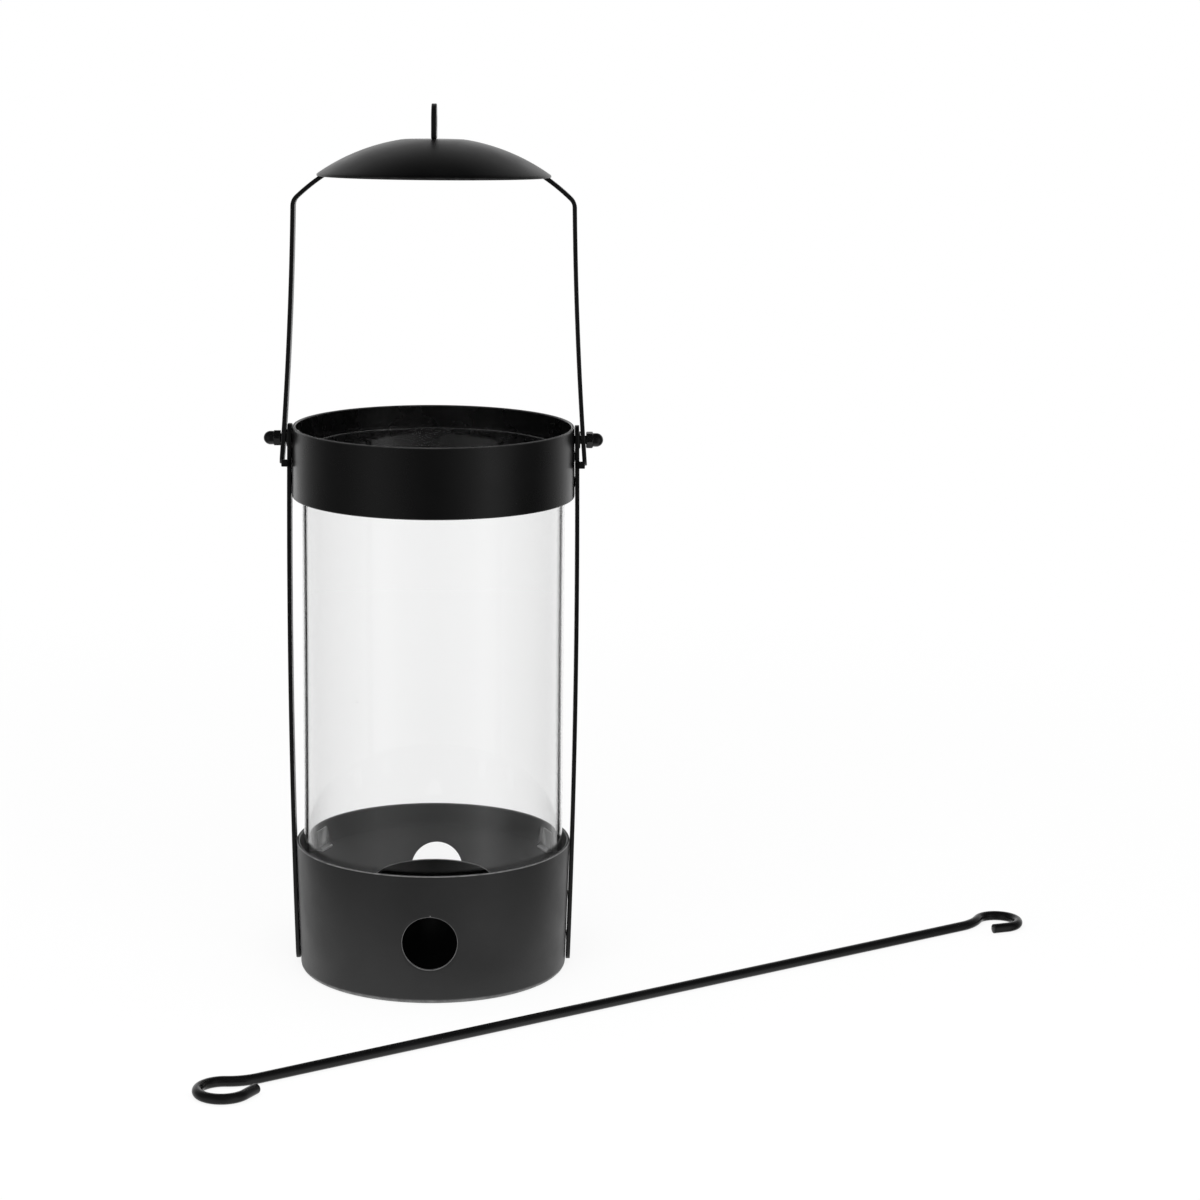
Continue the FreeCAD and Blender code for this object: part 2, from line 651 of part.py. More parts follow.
def make_roof():
    """Shallow spun dome with a flat middle, slotted for the hanging eye."""
    body = new_body("roof")
    inner_ball = "(@roof_ball - @roof_sheet)"
    inner_flat = f"sqrt({inner_ball} ^ 2 - (@roof_top - @roof_sheet - {BALL_CENTRE}) ^ 2)"
    profile = new_sketch(body, "roof_profile", "XZ_Plane")
    add_path(profile, [
        ("0", "@roof_top - @roof_sheet"),
        (inner_flat, "@roof_top - @roof_sheet", inner_ball, -1),
        ("@roof_radius", f"{BALL_CENTRE} + sqrt({inner_ball} ^ 2 - @roof_radius ^ 2)"),
        ("@roof_radius", f"{BALL_CENTRE} + sqrt(@roof_ball ^ 2 - @roof_radius ^ 2)", "@roof_ball", 1),
        ("@roof_flat", "@roof_top"),
        ("0", "@roof_top"),
    ])
    revolve(body, "roof_spun", profile, "V_Axis")
    slot = new_sketch(body, "roof_slot_outline", "XY_Plane")
    add_path(slot, tenon_slot())
    pocket(body, "roof_slot", slot)
    lean_back(body)
    sub_parts.append(body)


def make_hanging_eye():
    """Upright plate with a round top and hole; its tenon is peened under the bail."""
    body = new_body("hanging_eye")
    hole_height = "(@roof_top + @eye_rise)"
    plate = new_sketch(body, "eye_plate_outline", "YZ_Plane")
    add_path(plate, [
        ("-@eye_round", "@roof_top + @roof_gap"),
        ("@eye_round", "@roof_top + @roof_gap"),
        ("@eye_round", hole_height, "@eye_round", 1),
        ("0", f"{hole_height} + @eye_round", "@eye_round", 1),
        ("-@eye_round", hole_height),
    ])
    pad(body, "eye_upright", plate, "@eye_plate")
    tenon = new_sketch(body, "tenon_outline", "YZ_Plane")
    tenon_end = "(@roof_top - @roof_sheet - @roof_gap * 2 - @bar_thickness)"
    add_path(tenon, rectangle("-@tenon_width / 2", "@tenon_width / 2", f"{tenon_end} - @peen_height / 2",
                              "@roof_top + @roof_gap + @tenon_root"))
    pad(body, "eye_tenon", tenon, "@eye_plate")
    head = new_sketch(body, "peened_head_outline", "YZ_Plane")
    half_head = "(@tenon_width / 2 + @peen_spread)"
    add_path(head, rectangle(f"-{half_head}", half_head, f"{tenon_end} - @peen_height", tenon_end))
    pad(body, "peened_head", head, "@eye_plate + 2 * @peen_spread")
    hole = new_sketch(body, "eye_hole_outline", "YZ_Plane")
    add_circle(hole, "0", hole_height, "@eye_hole")
    pocket(body, "eye_hole", hole)
    lean_back(body)
    sub_parts.append(body)


# ---------------------------------------------------------------- loose hanging rod

def make_hanging_rod():
    """Round bar with a closed eye at one end and an open hook at the other."""
    body = new_body("hanging_rod")
    drop = "(1 - cos(@kink_angle))"
    spine = new_sketch(body, "rod_centreline", "XY_Plane")
    loop_kink = f"((@loop_radius * cos(@kink_angle) - @loop_offset) / {drop})"
    hook_kink = f"((@hook_radius * cos(@kink_angle) - @hook_offset) / {drop})"
    loop_x = f"(-({loop_kink} + @loop_radius) * sin(@kink_angle))"
    hook_x = f"(@shaft_length + ({hook_kink} + @hook_radius) * sin(@kink_angle))"
    loop_start = (f"{loop_x} + @loop_radius * sin(@kink_angle)",
                  "-@loop_offset + @loop_radius * cos(@kink_angle)")
    hook_start = (f"{hook_x} - @hook_radius * sin(@kink_angle)",
                  "-@hook_offset + @hook_radius * cos(@kink_angle)")
    loop_end = (f"{loop_x} + @loop_radius * cos(@loop_end_angle)",
                "-@loop_offset + @loop_radius * sin(@loop_end_angle)")
    hook_end = (f"{hook_x} + @hook_radius * cos(@hook_end_angle)",
                "-@hook_offset + @hook_radius * sin(@hook_end_angle)")
    loop_tip = (f"{loop_end[0]} - @loop_tip * sin(@loop_end_angle)",
                f"{loop_end[1]} + @loop_tip * cos(@loop_end_angle)")
    hook_tip = (f"{hook_end[0]} + @hook_tip * sin(@hook_end_angle)",
                f"{hook_end[1]} - @hook_tip * cos(@hook_end_angle)")
    loop_left = (f"{loop_x} - @loop_radius", "-@loop_offset")
    hook_right = (f"{hook_x} + @hook_radius", "-@hook_offset")
    add_path(spine, [
        loop_tip,
        loop_end + ("@loop_radius", -1),
        loop_left + ("@loop_radius", -1),
        loop_start + (loop_kink, 1),
        ("0", "0"),
        ("@shaft_length", "0", hook_kink, 1),
        hook_start + ("@hook_radius", -1),
        hook_right + ("@hook_radius", -1),
        hook_end,
        hook_tip,
    ], closed=False)
    section = body.newObject("Sketcher::SketchObject", "rod_section")
    section.AttachmentSupport = (spine, ["Edge1"])
    section.MapMode = "NormalToEdge"
    add_circle(section, "0", "0", "@wire_radius")
    sweep = body.newObject("PartDesign::AdditivePipe", "rod_sweep")
    sweep.Profile = (section, [""])
    sweep.Spine = (spine, [f"Edge{number}" for number in range(1, 10)])
    turn(body, Z_AXIS, "@rod_turn")
    body.setExpression(".Placement.Base.x", cells("@rod_x"))
    body.setExpression(".Placement.Base.y", cells("@rod_y"))
    lift(body, "@wire_radius")
    sub_parts.append(body)


make_base_cup()
make_centre_pot()
make_glass_tube()
make_glass_seats()
make_collar()
for side, half_turn in SIDES:
    make_side_strap(side, half_turn)
make_weld_nuggets()
for side, half_turn in SIDES:
    make_pivot_screw(side, half_turn)
    make_pivot_washer(side, half_turn)
    make_domed_nut(side, half_turn)
make_bail()
make_roof()
make_hanging_eye()
make_hanging_rod()
doc.recompute()

# ---------------------------------------------------------------- checks and output

failed = [item.Name for item in doc.Objects if "Invalid" in item.State or "Error" in item.State]
if failed:
    raise RuntimeError(f"these objects did not build: {failed}")
for part in sub_parts:
    if part.Shape.isNull() or not part.Shape.isValid() or not part.Shape.Solids:
        raise RuntimeError(f"{part.Label} has no valid solid")

os.makedirs("parts", exist_ok=True)
for part in sub_parts:
    part.Shape.exportStep(f"parts/{part.Label}.step")
    box = part.Shape.BoundBox
    print(f"{part.Label:24s} {part.Shape.Volume:10.1f} mm3  x {box.XMin:7.1f} {box.XMax:7.1f}"
          f"  y {box.YMin:7.1f} {box.YMax:7.1f}  z {box.ZMin:7.1f} {box.ZMax:7.1f}")
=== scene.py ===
import math

import bmesh
import bpy
import numpy as np
from mathutils import Matrix


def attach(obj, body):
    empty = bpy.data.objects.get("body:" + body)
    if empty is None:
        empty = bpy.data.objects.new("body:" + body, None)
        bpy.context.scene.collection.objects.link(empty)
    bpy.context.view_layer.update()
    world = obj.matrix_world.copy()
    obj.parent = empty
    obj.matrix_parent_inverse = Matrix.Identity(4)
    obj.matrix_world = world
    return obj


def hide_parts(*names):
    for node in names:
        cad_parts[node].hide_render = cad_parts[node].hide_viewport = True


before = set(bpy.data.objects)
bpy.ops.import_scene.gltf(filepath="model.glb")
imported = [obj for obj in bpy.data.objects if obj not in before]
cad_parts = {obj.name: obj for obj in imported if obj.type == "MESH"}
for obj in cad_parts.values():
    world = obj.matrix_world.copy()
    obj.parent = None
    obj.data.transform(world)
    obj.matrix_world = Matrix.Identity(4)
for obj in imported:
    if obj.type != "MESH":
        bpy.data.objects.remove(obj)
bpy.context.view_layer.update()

# ---------------------------------------------------------------- camera, floor and light
# A long lens looks down a little on the feeder from the front.  The feeder and its rod stand on a
# plain pale floor, between large soft lamps at the sides and overhead.

MM = 0.001

camera_data = bpy.data.cameras.new("camera")
camera_data.sensor_width = 36.0
camera_data.lens = 99.739
camera_data.clip_start = 0.05
camera_data.clip_end = 60.0
camera = bpy.data.objects.new("camera", camera_data)
camera_place = Matrix.Translation((42.733 * MM, -1539.283 * MM, 500.437 * MM))
camera_turn = Matrix.Rotation(-0.02334, 4, "Z") @ Matrix.Rotation(math.pi / 2 - 0.2056, 4, "X")
camera.matrix_world = camera_place @ camera_turn @ Matrix.Rotation(0.0109, 4, "Z")
bpy.context.scene.collection.objects.link(camera)
bpy.context.scene.camera = camera
bpy.context.scene.view_settings.view_transform = "Standard"


def new_material(name):
    """An empty node material: its tree, its nodes and a way to join two sockets."""
    material = bpy.data.materials.new(name)
    material.use_nodes = True
    material.node_tree.nodes.clear()
    return material, material.node_tree.nodes, material.node_tree.links.new


# The floor shows white with a faint shadow near the feeder.  For reflections it has a painted glow
# round the foot, an emission that fades out further away, where the room's own level takes over.
floor_material, nodes, join = new_material("pale_floor")
floor_place = nodes.new("ShaderNodeTexCoord")
floor_distance = nodes.new("ShaderNodeVectorMath")
floor_distance.operation = "LENGTH"
join(floor_place.outputs["Object"], floor_distance.inputs[0])
ray = nodes.new("ShaderNodeLightPath")


def floor_fade(near, far, near_level, far_level):
    """A level that runs smoothly from near_level to far_level between two distances."""
    fade = nodes.new("ShaderNodeMapRange")
    fade.interpolation_type = "SMOOTHSTEP"
    for label, level in (("From Min", near), ("From Max", far), ("To Min", near_level), ("To Max", far_level)):
        fade.inputs[label].default_value = level
    join(floor_distance.outputs["Value"], fade.inputs["Value"])
    return fade.outputs[0]


def floor_math(operation, first, second):
    """A Math node of the floor's material on two sockets, with its result kept from 0 to 1."""
    node = nodes.new("ShaderNodeMath")
    node.operation = operation
    node.use_clamp = True
    join(first, node.inputs[0])
    join(second, node.inputs[1])
    return node.outputs[0]


def floor_mix(share, first, second):
    """The shader first where share is 0 and second where it is 1."""
    mix = nodes.new("ShaderNodeMixShader")
    join(share, mix.inputs["Fac"])
    join(first, mix.inputs[1])
    join(second, mix.inputs[2])
    return mix.outputs[0]


def floor_shader(kind, level):
    """A shader of one grey level."""
    shader = nodes.new(kind)
    shader.inputs["Color"].default_value = (level, level, level, 1.0)
    return shader.outputs[0]


seen = floor_math("MAXIMUM", ray.outputs["Is Camera Ray"], ray.outputs["Is Transmission Ray"])
glow_share = floor_math("MULTIPLY", seen, floor_fade(0.2, 0.9, 0.86, 1.0))
matt_floor = floor_mix(glow_share, floor_shader("ShaderNodeBsdfDiffuse", 0.9),
                       floor_shader("ShaderNodeEmission", 1.0))
# Painted glow: glossy rays see an emission of 0.75 on the floor round the foot, fading out further away.
painted_floor_glow = floor_mix(floor_fade(0.065, 0.34, 1.0, 0.0), floor_shader("ShaderNodeBsdfTransparent", 1.0),
                        floor_shader("ShaderNodeEmission", 0.75))
floor_out = nodes.new("ShaderNodeOutputMaterial")
join(floor_mix(ray.outputs["Glossy Depth"], matt_floor, painted_floor_glow), floor_out.inputs["Surface"])

floor_half = 14.0
floor_mesh = bpy.data.meshes.new("floor")
floor_mesh.from_pydata([(-floor_half, -floor_half, 0), (floor_half, -floor_half, 0),
                        (floor_half, floor_half, 0), (-floor_half, floor_half, 0)], [], [(0, 1, 2, 3)])
floor_mesh.materials.append(floor_material)
floor = bpy.data.objects.new("floor", floor_mesh)
bpy.context.scene.collection.objects.link(floor)

# The room: plain white light for matt surfaces, a white view behind everything, and for gloss a
# bright wall behind the feeder, two weak panels in front at the sides, and a dark ceiling.
world = bpy.data.worlds.new("studio")
bpy.context.scene.world = world
world.use_nodes = True
world.cycles.sampling_method = "NONE"
sky_nodes, sky_join = world.node_tree.nodes, world.node_tree.links.new
sky_nodes.clear()


def sky_math(operation, first, second):
    """A Math node in the world on two sockets or numbers, and its result."""
    node = sky_nodes.new("ShaderNodeMath")
    node.operation = operation
    for index, item in enumerate((first, second)):
        if isinstance(item, (int, float)):
            node.inputs[index].default_value = item
        else:
            sky_join(item, node.inputs[index])
    return node.outputs[0]


def sky_ramp(value, stops):
    """Brightness that follows value (0 to 1) through the stops (value, brightness)."""
    ramp = sky_nodes.new("ShaderNodeValToRGB")
    elements = ramp.color_ramp.elements
    while len(elements) < len(stops):
        elements.new(1.0)
    for element, (position, level) in zip(elements, stops):
        element.position = position
        element.color = (level, level, level, 1.0)
    sky_join(value, ramp.inputs[0])
    return ramp.outputs[0]


sky_direction = sky_nodes.new("ShaderNodeTexCoord")
sky_split = sky_nodes.new("ShaderNodeSeparateXYZ")
sky_join(sky_direction.outputs["Generated"], sky_split.inputs[0])
bearing = sky_math("ARCTAN2", sky_split.outputs["X"], sky_math("MULTIPLY", sky_split.outputs["Y"], -1.0))
round_share = sky_math("ADD", sky_math("DIVIDE", bearing, 2 * math.pi), 0.5)
height_share = sky_math("ADD", sky_math("MULTIPLY", sky_split.outputs["Z"], 0.5), 0.5)
room_round = sky_ramp(round_share, [
    (0.0, 1.0), (0.07, 1.0), (0.095, 0.8), (0.13, 0.5), (0.167, 0.27), (0.2, 0.17), (0.24, 0.1), (0.29, 0.1),
    (0.33, 0.17), (0.37, 0.25), (0.42, 0.18), (0.46, 0.1), (0.5, 0.05), (0.54, 0.1), (0.59, 0.22),
    (0.63, 0.46), (0.67, 0.3), (0.71, 0.08), (0.76, 0.06), (0.8, 0.14), (0.833, 0.27), (0.87, 0.5),
    (0.905, 0.8), (0.93, 1.0), (1.0, 1.0)])
room_height = sky_ramp(height_share, [(0.0, 1.0), (0.6, 1.0), (0.71, 0.45), (0.78, 0.34), (0.84, 0.22),
                                      (0.91, 0.03), (1.0, 0.0)])
room_light = sky_math("MULTIPLY", room_round, room_height)
sky_ray = sky_nodes.new("ShaderNodeLightPath")
sky_gloss = sky_math("MINIMUM", sky_ray.outputs["Glossy Depth"], 1.0)
matt_light = 0.7
sky_seen = sky_math("MAXIMUM", sky_ray.outputs["Is Camera Ray"], sky_ray.outputs["Is Transmission Ray"])
matt_level = sky_math("MAXIMUM", sky_seen, matt_light)
matt_part = sky_math("MULTIPLY", sky_math("SUBTRACT", 1.0, sky_gloss), matt_level)
sky_level = sky_math("ADD", sky_math("MULTIPLY", sky_gloss, room_light), matt_part)
sky_light = sky_nodes.new("ShaderNodeBackground")
sky_light.inputs["Color"].default_value = (1.0, 1.0, 1.0, 1.0)
sky_out = sky_nodes.new("ShaderNodeOutputWorld")
sky_join(sky_level, sky_light.inputs["Strength"])
sky_join(sky_light.outputs[0], sky_out.inputs["Surface"])

# One large soft lamp above and in front, which reaches into the cup and leaves no highlight.
soft_lamp = bpy.data.lights.new("soft_lamp", "AREA")
soft_lamp.shape = "RECTANGLE"
soft_lamp.size, soft_lamp.size_y = 1.4, 1.1
soft_lamp.energy = 16.0
lamp = bpy.data.objects.new("soft_lamp", soft_lamp)
lamp.location = (0.0, -0.8, 1.35)
lamp.rotation_euler = (math.radians(32), 0.0, 0.0)
lamp.visible_glossy = False
lamp.visible_camera = False
lamp.visible_transmission = False
bpy.context.scene.collection.objects.link(lamp)

# ---------------------------------------------------------------- base cup
# A deep-drawn cup of 1.5 mm sheet with a flat floor and one punched feeding hole in front and
# one behind.  It is powder coated in black with a fine grain that shows beside its pale edges, which are a painted
# highlight together with wear.


def rounded(corners, radii, steps=4, guard=0.5):
    """A closed outline whose corners are swung round by arcs.

    At each corner the arc of the wanted radius touches both sides at radius * tan(turn / 2) from
    the corner.  A guard point lies beside each end of an arc, so that flat faces stay flat.
    Returns the points, in order, and for each a number that is 1 in the middle of an arc.
    """
    points, edges = [], []
    corners = np.array(corners, float)
    for index, (corner, radius) in enumerate(zip(corners, radii)):
        before = corners[index - 1] - corner
        after = corners[(index + 1) % len(corners)] - corner
        room = min(np.linalg.norm(before), np.linalg.norm(after))
        before /= np.linalg.norm(before)
        after /= np.linalg.norm(after)
        half = math.acos(np.clip(before @ after, -1, 1)) / 2
        if radius <= 0:
            points.append(corner[None])
            edges.append(np.zeros(1))
            continue
        reach = radius / math.tan(half)
        middle = (before + after) / np.linalg.norm(before + after)
        centre = corner + middle * radius / math.sin(half)
        span = math.pi / 2 - half
        sweep = np.linspace(-span, span, steps + 1)[:, None]
        across = np.cross(np.append(middle, 0), (0, 0, 1))[:2]
        across *= np.sign(across @ after) or 1.0
        arc = centre + radius * (-middle * np.cos(sweep) + across * np.sin(sweep))
        edge = np.cos(np.linspace(-math.pi / 2, math.pi / 2, steps + 1)) ** 0.5
        margin = min(guard, (room - reach) * 0.4)
        if margin > 0.02:
            arc = np.vstack([corner + before * (reach + margin), arc, corner + after * (reach + margin)])
            edge = np.concatenate([[0.0], edge, [0.0]])
        points.append(arc)
        edges.append(edge)
    return np.vstack(points), np.concatenate(edges)


def turned(outline, angles):
    """The outline (radius, height) carried round Z: point = (r cos a, r sin a, h) for each angle a."""
    radius, height = outline[:, :1], outline[:, 1:]
    return np.stack([radius * np.cos(angles), radius * np.sin(angles), height + 0 * angles], axis=2)


def border(rows, columns):
    """The grid places round a block, as (row, column) arrays, once round from its first corner."""
    row = np.concatenate([np.full(len(columns) - 1, rows[0]), rows[:-1],
                          np.full(len(columns) - 1, rows[-1]), rows[:0:-1]])
    column = np.concatenate([columns[:-1], np.full(len(rows) - 1, columns[-1]),
                             columns[:0:-1], np.full(len(rows) - 1, columns[0])])
    return row, column


def strips(loops):
    """Quads between loops of point numbers that follow each other, each loop closed."""
    loops = np.array(loops)
    following = np.roll(loops, -1, axis=1)
    return np.stack([loops[:-1], following[:-1], following[1:], loops[1:]], axis=2).reshape(-1, 4)


def new_piece(name, points, edges, ring=False, holes=(), place=None):
    """A closed skin over a grid of points in millimetres, which closes round its columns.

    With ring the last row meets the first.  Otherwise each end closes in a fan to its middle.
    A hole is (near block, far block, centre, axis, radius, lip, near face, far face).  Each block's
    cells are left out, loops shrink from the block's border to the round mouth along that face,
    turn over a lip of quarter-circle section, and meet through the wall.
    place is a function that takes the finished points into the feeder's frame.
    """
    rows, columns = points.shape[:2]
    number = np.arange(rows * columns).reshape(rows, columns)
    kept = np.ones((rows if ring else rows - 1, columns), bool)
    clouds, edge_weight, faces = [points.reshape(-1, 3)], [np.broadcast_to(edges, (rows, columns)).ravel()], []
    used = rows * columns
    for near, far, centre, axis, radius, lip, near_face, far_face in holes:
        centre, axis = np.array(centre, float), np.array(axis, float)
        chain, layers, mouths = [], [], []
        for block, on_face in ((near, near_face), (far, far_face)):
            row, column = border(*block)
            kept[min(block[0]):max(block[0]), min(block[1]):max(block[1])] = False
            start = points[row, column]
            flat = start - centre
            flat -= np.outer(flat @ axis, axis)
            spoke = flat / np.linalg.norm(flat, axis=1, keepdims=True)
            shares = np.linspace(0, 1, 7)[1:, None, None] ** 0.8
            mouth = centre + spoke * (radius + lip)
            rings = on_face(start + (mouth - start) * shares)
            chain.append(number[row, column])
            mouths.append((spoke, rings))
        for side, (spoke, rings) in enumerate(mouths):
            inward = mouths[1 - side][1][-1] - rings[-1]
            inward /= np.linalg.norm(inward, axis=1, keepdims=True)
            bend = np.linspace(0, math.pi / 2, 5)[1:, None, None]
            lips = rings[-1] - spoke * lip * np.sin(bend) + inward * lip * (1 - np.cos(bend))
            own = np.concatenate([rings, lips])
            shade = np.concatenate([np.zeros(len(rings)), np.sin(2 * bend.ravel()) ** 0.5])
            layers.append((own, shade) if side == 0 else (own[::-1], shade[::-1]))
        cloud = np.concatenate([layer for layer, shade in layers])
        shade = np.concatenate([shade for layer, shade in layers])
        inner = used + np.arange(cloud.shape[0] * cloud.shape[1]).reshape(cloud.shape[:2])
        used += inner.size
        clouds.append(cloud.reshape(-1, 3))
        edge_weight.append(np.repeat(shade, cloud.shape[1]))
        faces.append(strips(np.concatenate([chain[:1], inner, chain[1:]])))
    closing = np.roll(number, -1, axis=1)
    ahead, ahead_closing = np.roll(number, -1, axis=0), np.roll(closing, -1, axis=0)
    quads = np.stack([number, closing, ahead_closing, ahead], axis=2)[:len(kept)]
    faces.append(quads[kept])
    polygons = np.concatenate(faces).tolist()
    if not ring:
        middles = np.stack([points[0].mean(axis=0), points[-1].mean(axis=0)])
        clouds.append(middles)
        edge_weight.append(np.zeros(2))
        for end, tip in ((0, used), (-1, used + 1)):
            loop = number[end]
            fan = np.stack([loop, np.roll(loop, -1), np.full(columns, tip)], axis=1)
            polygons += fan.tolist()
    cloud = np.concatenate(clouds)
    if place is not None:
        cloud = place(cloud)
    mesh = bpy.data.meshes.new(name)
    mesh.from_pydata((cloud * MM).tolist(), [], polygons)
    attribute = mesh.attributes.new("edge", "FLOAT", "POINT")
    attribute.data.foreach_set("value", np.concatenate(edge_weight).astype(np.float32))
    skin = bmesh.new()
    skin.from_mesh(mesh)
    bmesh.ops.remove_doubles(skin, verts=skin.verts, dist=1e-7)
    bmesh.ops.recalc_face_normals(skin, faces=skin.faces)
    skin.to_mesh(mesh)
    skin.free()
    mesh.shade_smooth()
    piece = bpy.data.objects.new(name, mesh)
    bpy.context.scene.collection.objects.link(piece)
    return piece


def fit(piece, material, body, slot, *nodes_stood_for):
    """Gives a piece its finish and puts it in the place of its CAD nodes."""
    piece.data.materials.clear()
    piece.data.materials.append(material)
    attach(piece, body)
    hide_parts(*nodes_stood_for)


def span(low, high, step):
    """Heights or angles from low to high in even steps of about that size, both ends left out."""
    count = max(1, round((high - low) / step))
    return np.linspace(low, high, count + 1)[1:-1]


cup_radius, foot_radius, cup_height, cup_wall, cup_corner = 65.35, 63.6, 62.3, 1.5, 2.5
feed_radius, feed_height, feed_block = 12.8, 29.6, 19.5
rim_round = 0.55


def cup_face(height):
    """Outer radius of the cup's wall, which widens evenly from foot to rim."""
    return foot_radius + (cup_radius - foot_radius) * (height - cup_corner) / (cup_height - cup_corner)


cup_outline, cup_edges = rounded(
    [(0, 0), (cup_face(0), 0), (cup_radius, cup_height), (cup_radius - cup_wall, cup_height),
     (cup_face(cup_wall) - cup_wall, cup_wall), (0, cup_wall)],
    [0, cup_corner, rim_round, rim_round, cup_corner - cup_wall, 0], steps=5)
cup_split = [int(np.argmax(cup_outline[:, 1] > cup_height / 2))]
cup_split.append(len(cup_outline) - int(np.argmax(cup_outline[::-1, 1] > cup_height / 2)))
wall_heights = np.unique(np.concatenate([
    span(cup_corner + 1, feed_height - feed_block, 3), feed_height + np.linspace(-1, 1, 15) * feed_block,
    span(feed_height + feed_block, cup_height - 1.5, 3)]))
outer_wall = np.stack([cup_face(wall_heights), wall_heights], axis=1)
inner_wall = outer_wall[::-1] - (cup_wall, 0)
floor_spread = np.stack([np.linspace(6, 58, 9), np.zeros(9)], axis=1)
under_side, upper_side = floor_spread, floor_spread[::-1] + (0, cup_wall)
cup_rows = [cup_outline[:1], under_side, cup_outline[1:cup_split[0]], outer_wall,
            cup_outline[cup_split[0]:cup_split[1]], inner_wall, cup_outline[cup_split[1]:-1],
            upper_side, cup_outline[-1:]]
row_edges = [0 * under_side[:, 0], cup_edges[1:cup_split[0]], 0 * wall_heights,
             cup_edges[cup_split[0]:cup_split[1]], 0 * wall_heights, cup_edges[cup_split[1]:-1],
             0 * under_side[:, 0]]
cup_profile = np.vstack(cup_rows[1:-1])
cup_profile_edges = np.concatenate(row_edges)
first_outer = len(under_side) + cup_split[0] - 1
first_inner = first_outer + len(wall_heights) + cup_split[1] - cup_split[0]

half_block = math.asin(feed_block / cup_radius)
block_angles = np.arcsin(np.linspace(-1, 1, 17) * math.sin(half_block))
rest_angles = span(half_block - math.pi / 2, math.pi / 2 - half_block, math.radians(1.5))
cup_angles = np.concatenate([rest_angles, math.pi / 2 + block_angles,
                             rest_angles + math.pi, 3 * math.pi / 2 + block_angles])
feed_rows = np.flatnonzero(np.abs(wall_heights - feed_height) < feed_block + 0.01)


def on_wall(face, depth, side, across, along):
    """Puts points that far inside a round wall whose outer radius is face(height): the coordinate
    along = side * sqrt(r^2 - across^2)."""
    def place(points):
        points = points.copy()
        radius = face(points[..., 2]) - depth
        points[..., along] = side * np.sqrt(radius ** 2 - points[..., across] ** 2)
        return points
    return place


feeding_holes = []
for side, first_column in ((1, len(rest_angles)), (-1, 2 * len(rest_angles) + len(block_angles))):
    hole_columns = first_column + np.arange(len(block_angles))
    feeding_holes.append((
        (first_outer + feed_rows, hole_columns),
        ((first_inner + len(wall_heights) - 1 - feed_rows), hole_columns),
        (0, 0, feed_height), (0, 1, 0), feed_radius, 0.3,
        on_wall(cup_face, 0, side, 0, 1), on_wall(cup_face, cup_wall, side, 0, 1)))

base_cup = new_piece("base_cup_drawn", turned(cup_profile, cup_angles), cup_profile_edges[:, None],
                     holes=feeding_holes)


def new_group(name, inputs, outputs):
    """A node group with named number inputs (name, value) and outputs (name, kind)."""
    tree = bpy.data.node_groups.new(name, "ShaderNodeTree")
    for label, default in inputs:
        socket = tree.interface.new_socket(label, in_out="INPUT", socket_type="NodeSocketFloat")
        socket.default_value = default
    for label, kind in outputs:
        tree.interface.new_socket(label, in_out="OUTPUT", socket_type=kind)
    return tree, tree.nodes.new("NodeGroupInput"), tree.nodes.new("NodeGroupOutput")


def math_node(tree, operation, first, second, clamp=False):
    """A Math node on two sockets or numbers, and its result."""
    node = tree.nodes.new("ShaderNodeMath")
    node.operation = operation
    node.use_clamp = clamp
    for index, item in enumerate((first, second)):
        if isinstance(item, (int, float)):
            node.inputs[index].default_value = item
        else:
            tree.links.new(item, node.inputs[index])
    return node.outputs[0]


def noise_node(tree, scale, detail, stretch=(1.0, 1.0, 1.0)):
    """Noise of that scale on Object coordinates, which may be stretched along an axis."""
    place = tree.nodes.new("ShaderNodeTexCoord")
    mapping = tree.nodes.new("ShaderNodeMapping")
    mapping.inputs["Scale"].default_value = stretch
    noise = tree.nodes.new("ShaderNodeTexNoise")
    noise.inputs["Detail"].default_value = detail
    tree.links.new(place.outputs["Object"], mapping.inputs["Vector"])
    tree.links.new(mapping.outputs[0], noise.inputs["Vector"])
    if isinstance(scale, (int, float)):
        noise.inputs["Scale"].default_value = scale
    else:
        tree.links.new(scale, noise.inputs["Scale"])
    return noise.outputs["Fac"]


# Baked powder: a fine orange-peel height, and a slow mottle that varies the gloss.
powder_group, given, made = new_group(
    "baked_powder", [("Grain Scale", 900.0), ("Mottle Scale", 55.0)],
    [("Height", "NodeSocketFloat"), ("Mottle", "NodeSocketFloat")])
peel = noise_node(powder_group, given.outputs["Grain Scale"], 3.0)
fine_scale = math_node(powder_group, "MULTIPLY", given.outputs["Grain Scale"], 3.1)
fine = noise_node(powder_group, fine_scale, 2.0)
fine_part = math_node(powder_group, "MULTIPLY", fine, 0.45)
powder_height = math_node(powder_group, "ADD", peel, fine_part)
mottle = noise_node(powder_group, given.outputs["Mottle Scale"], 5.0)
powder_group.links.new(powder_height, made.inputs["Height"])
powder_group.links.new(mottle, made.inputs["Mottle"])

# Dust: a few pale specks, from the middles of Voronoi cells of which only a share is used,
# and a faint haze of handling marks.
dust_group, given, made = new_group(
    "settled_dust", [("Speck Scale", 140.0), ("Speck Size", 0.05), ("Share", 0.08)],
    [("Specks", "NodeSocketFloat"), ("Haze", "NodeSocketFloat")])
dust_place = dust_group.nodes.new("ShaderNodeTexCoord")
cells = dust_group.nodes.new("ShaderNodeTexVoronoi")
dust_group.links.new(dust_place.outputs["Object"], cells.inputs["Vector"])
dust_group.links.new(given.outputs["Speck Scale"], cells.inputs["Scale"])
chance = dust_group.nodes.new("ShaderNodeSeparateColor")
dust_group.links.new(cells.outputs["Color"], chance.inputs[0])
picked = math_node(dust_group, "LESS_THAN", chance.outputs[0], given.outputs["Share"])
sized = math_node(dust_group, "MULTIPLY", chance.outputs[1], given.outputs["Speck Size"])
inside = math_node(dust_group, "SUBTRACT", sized, cells.outputs["Distance"])
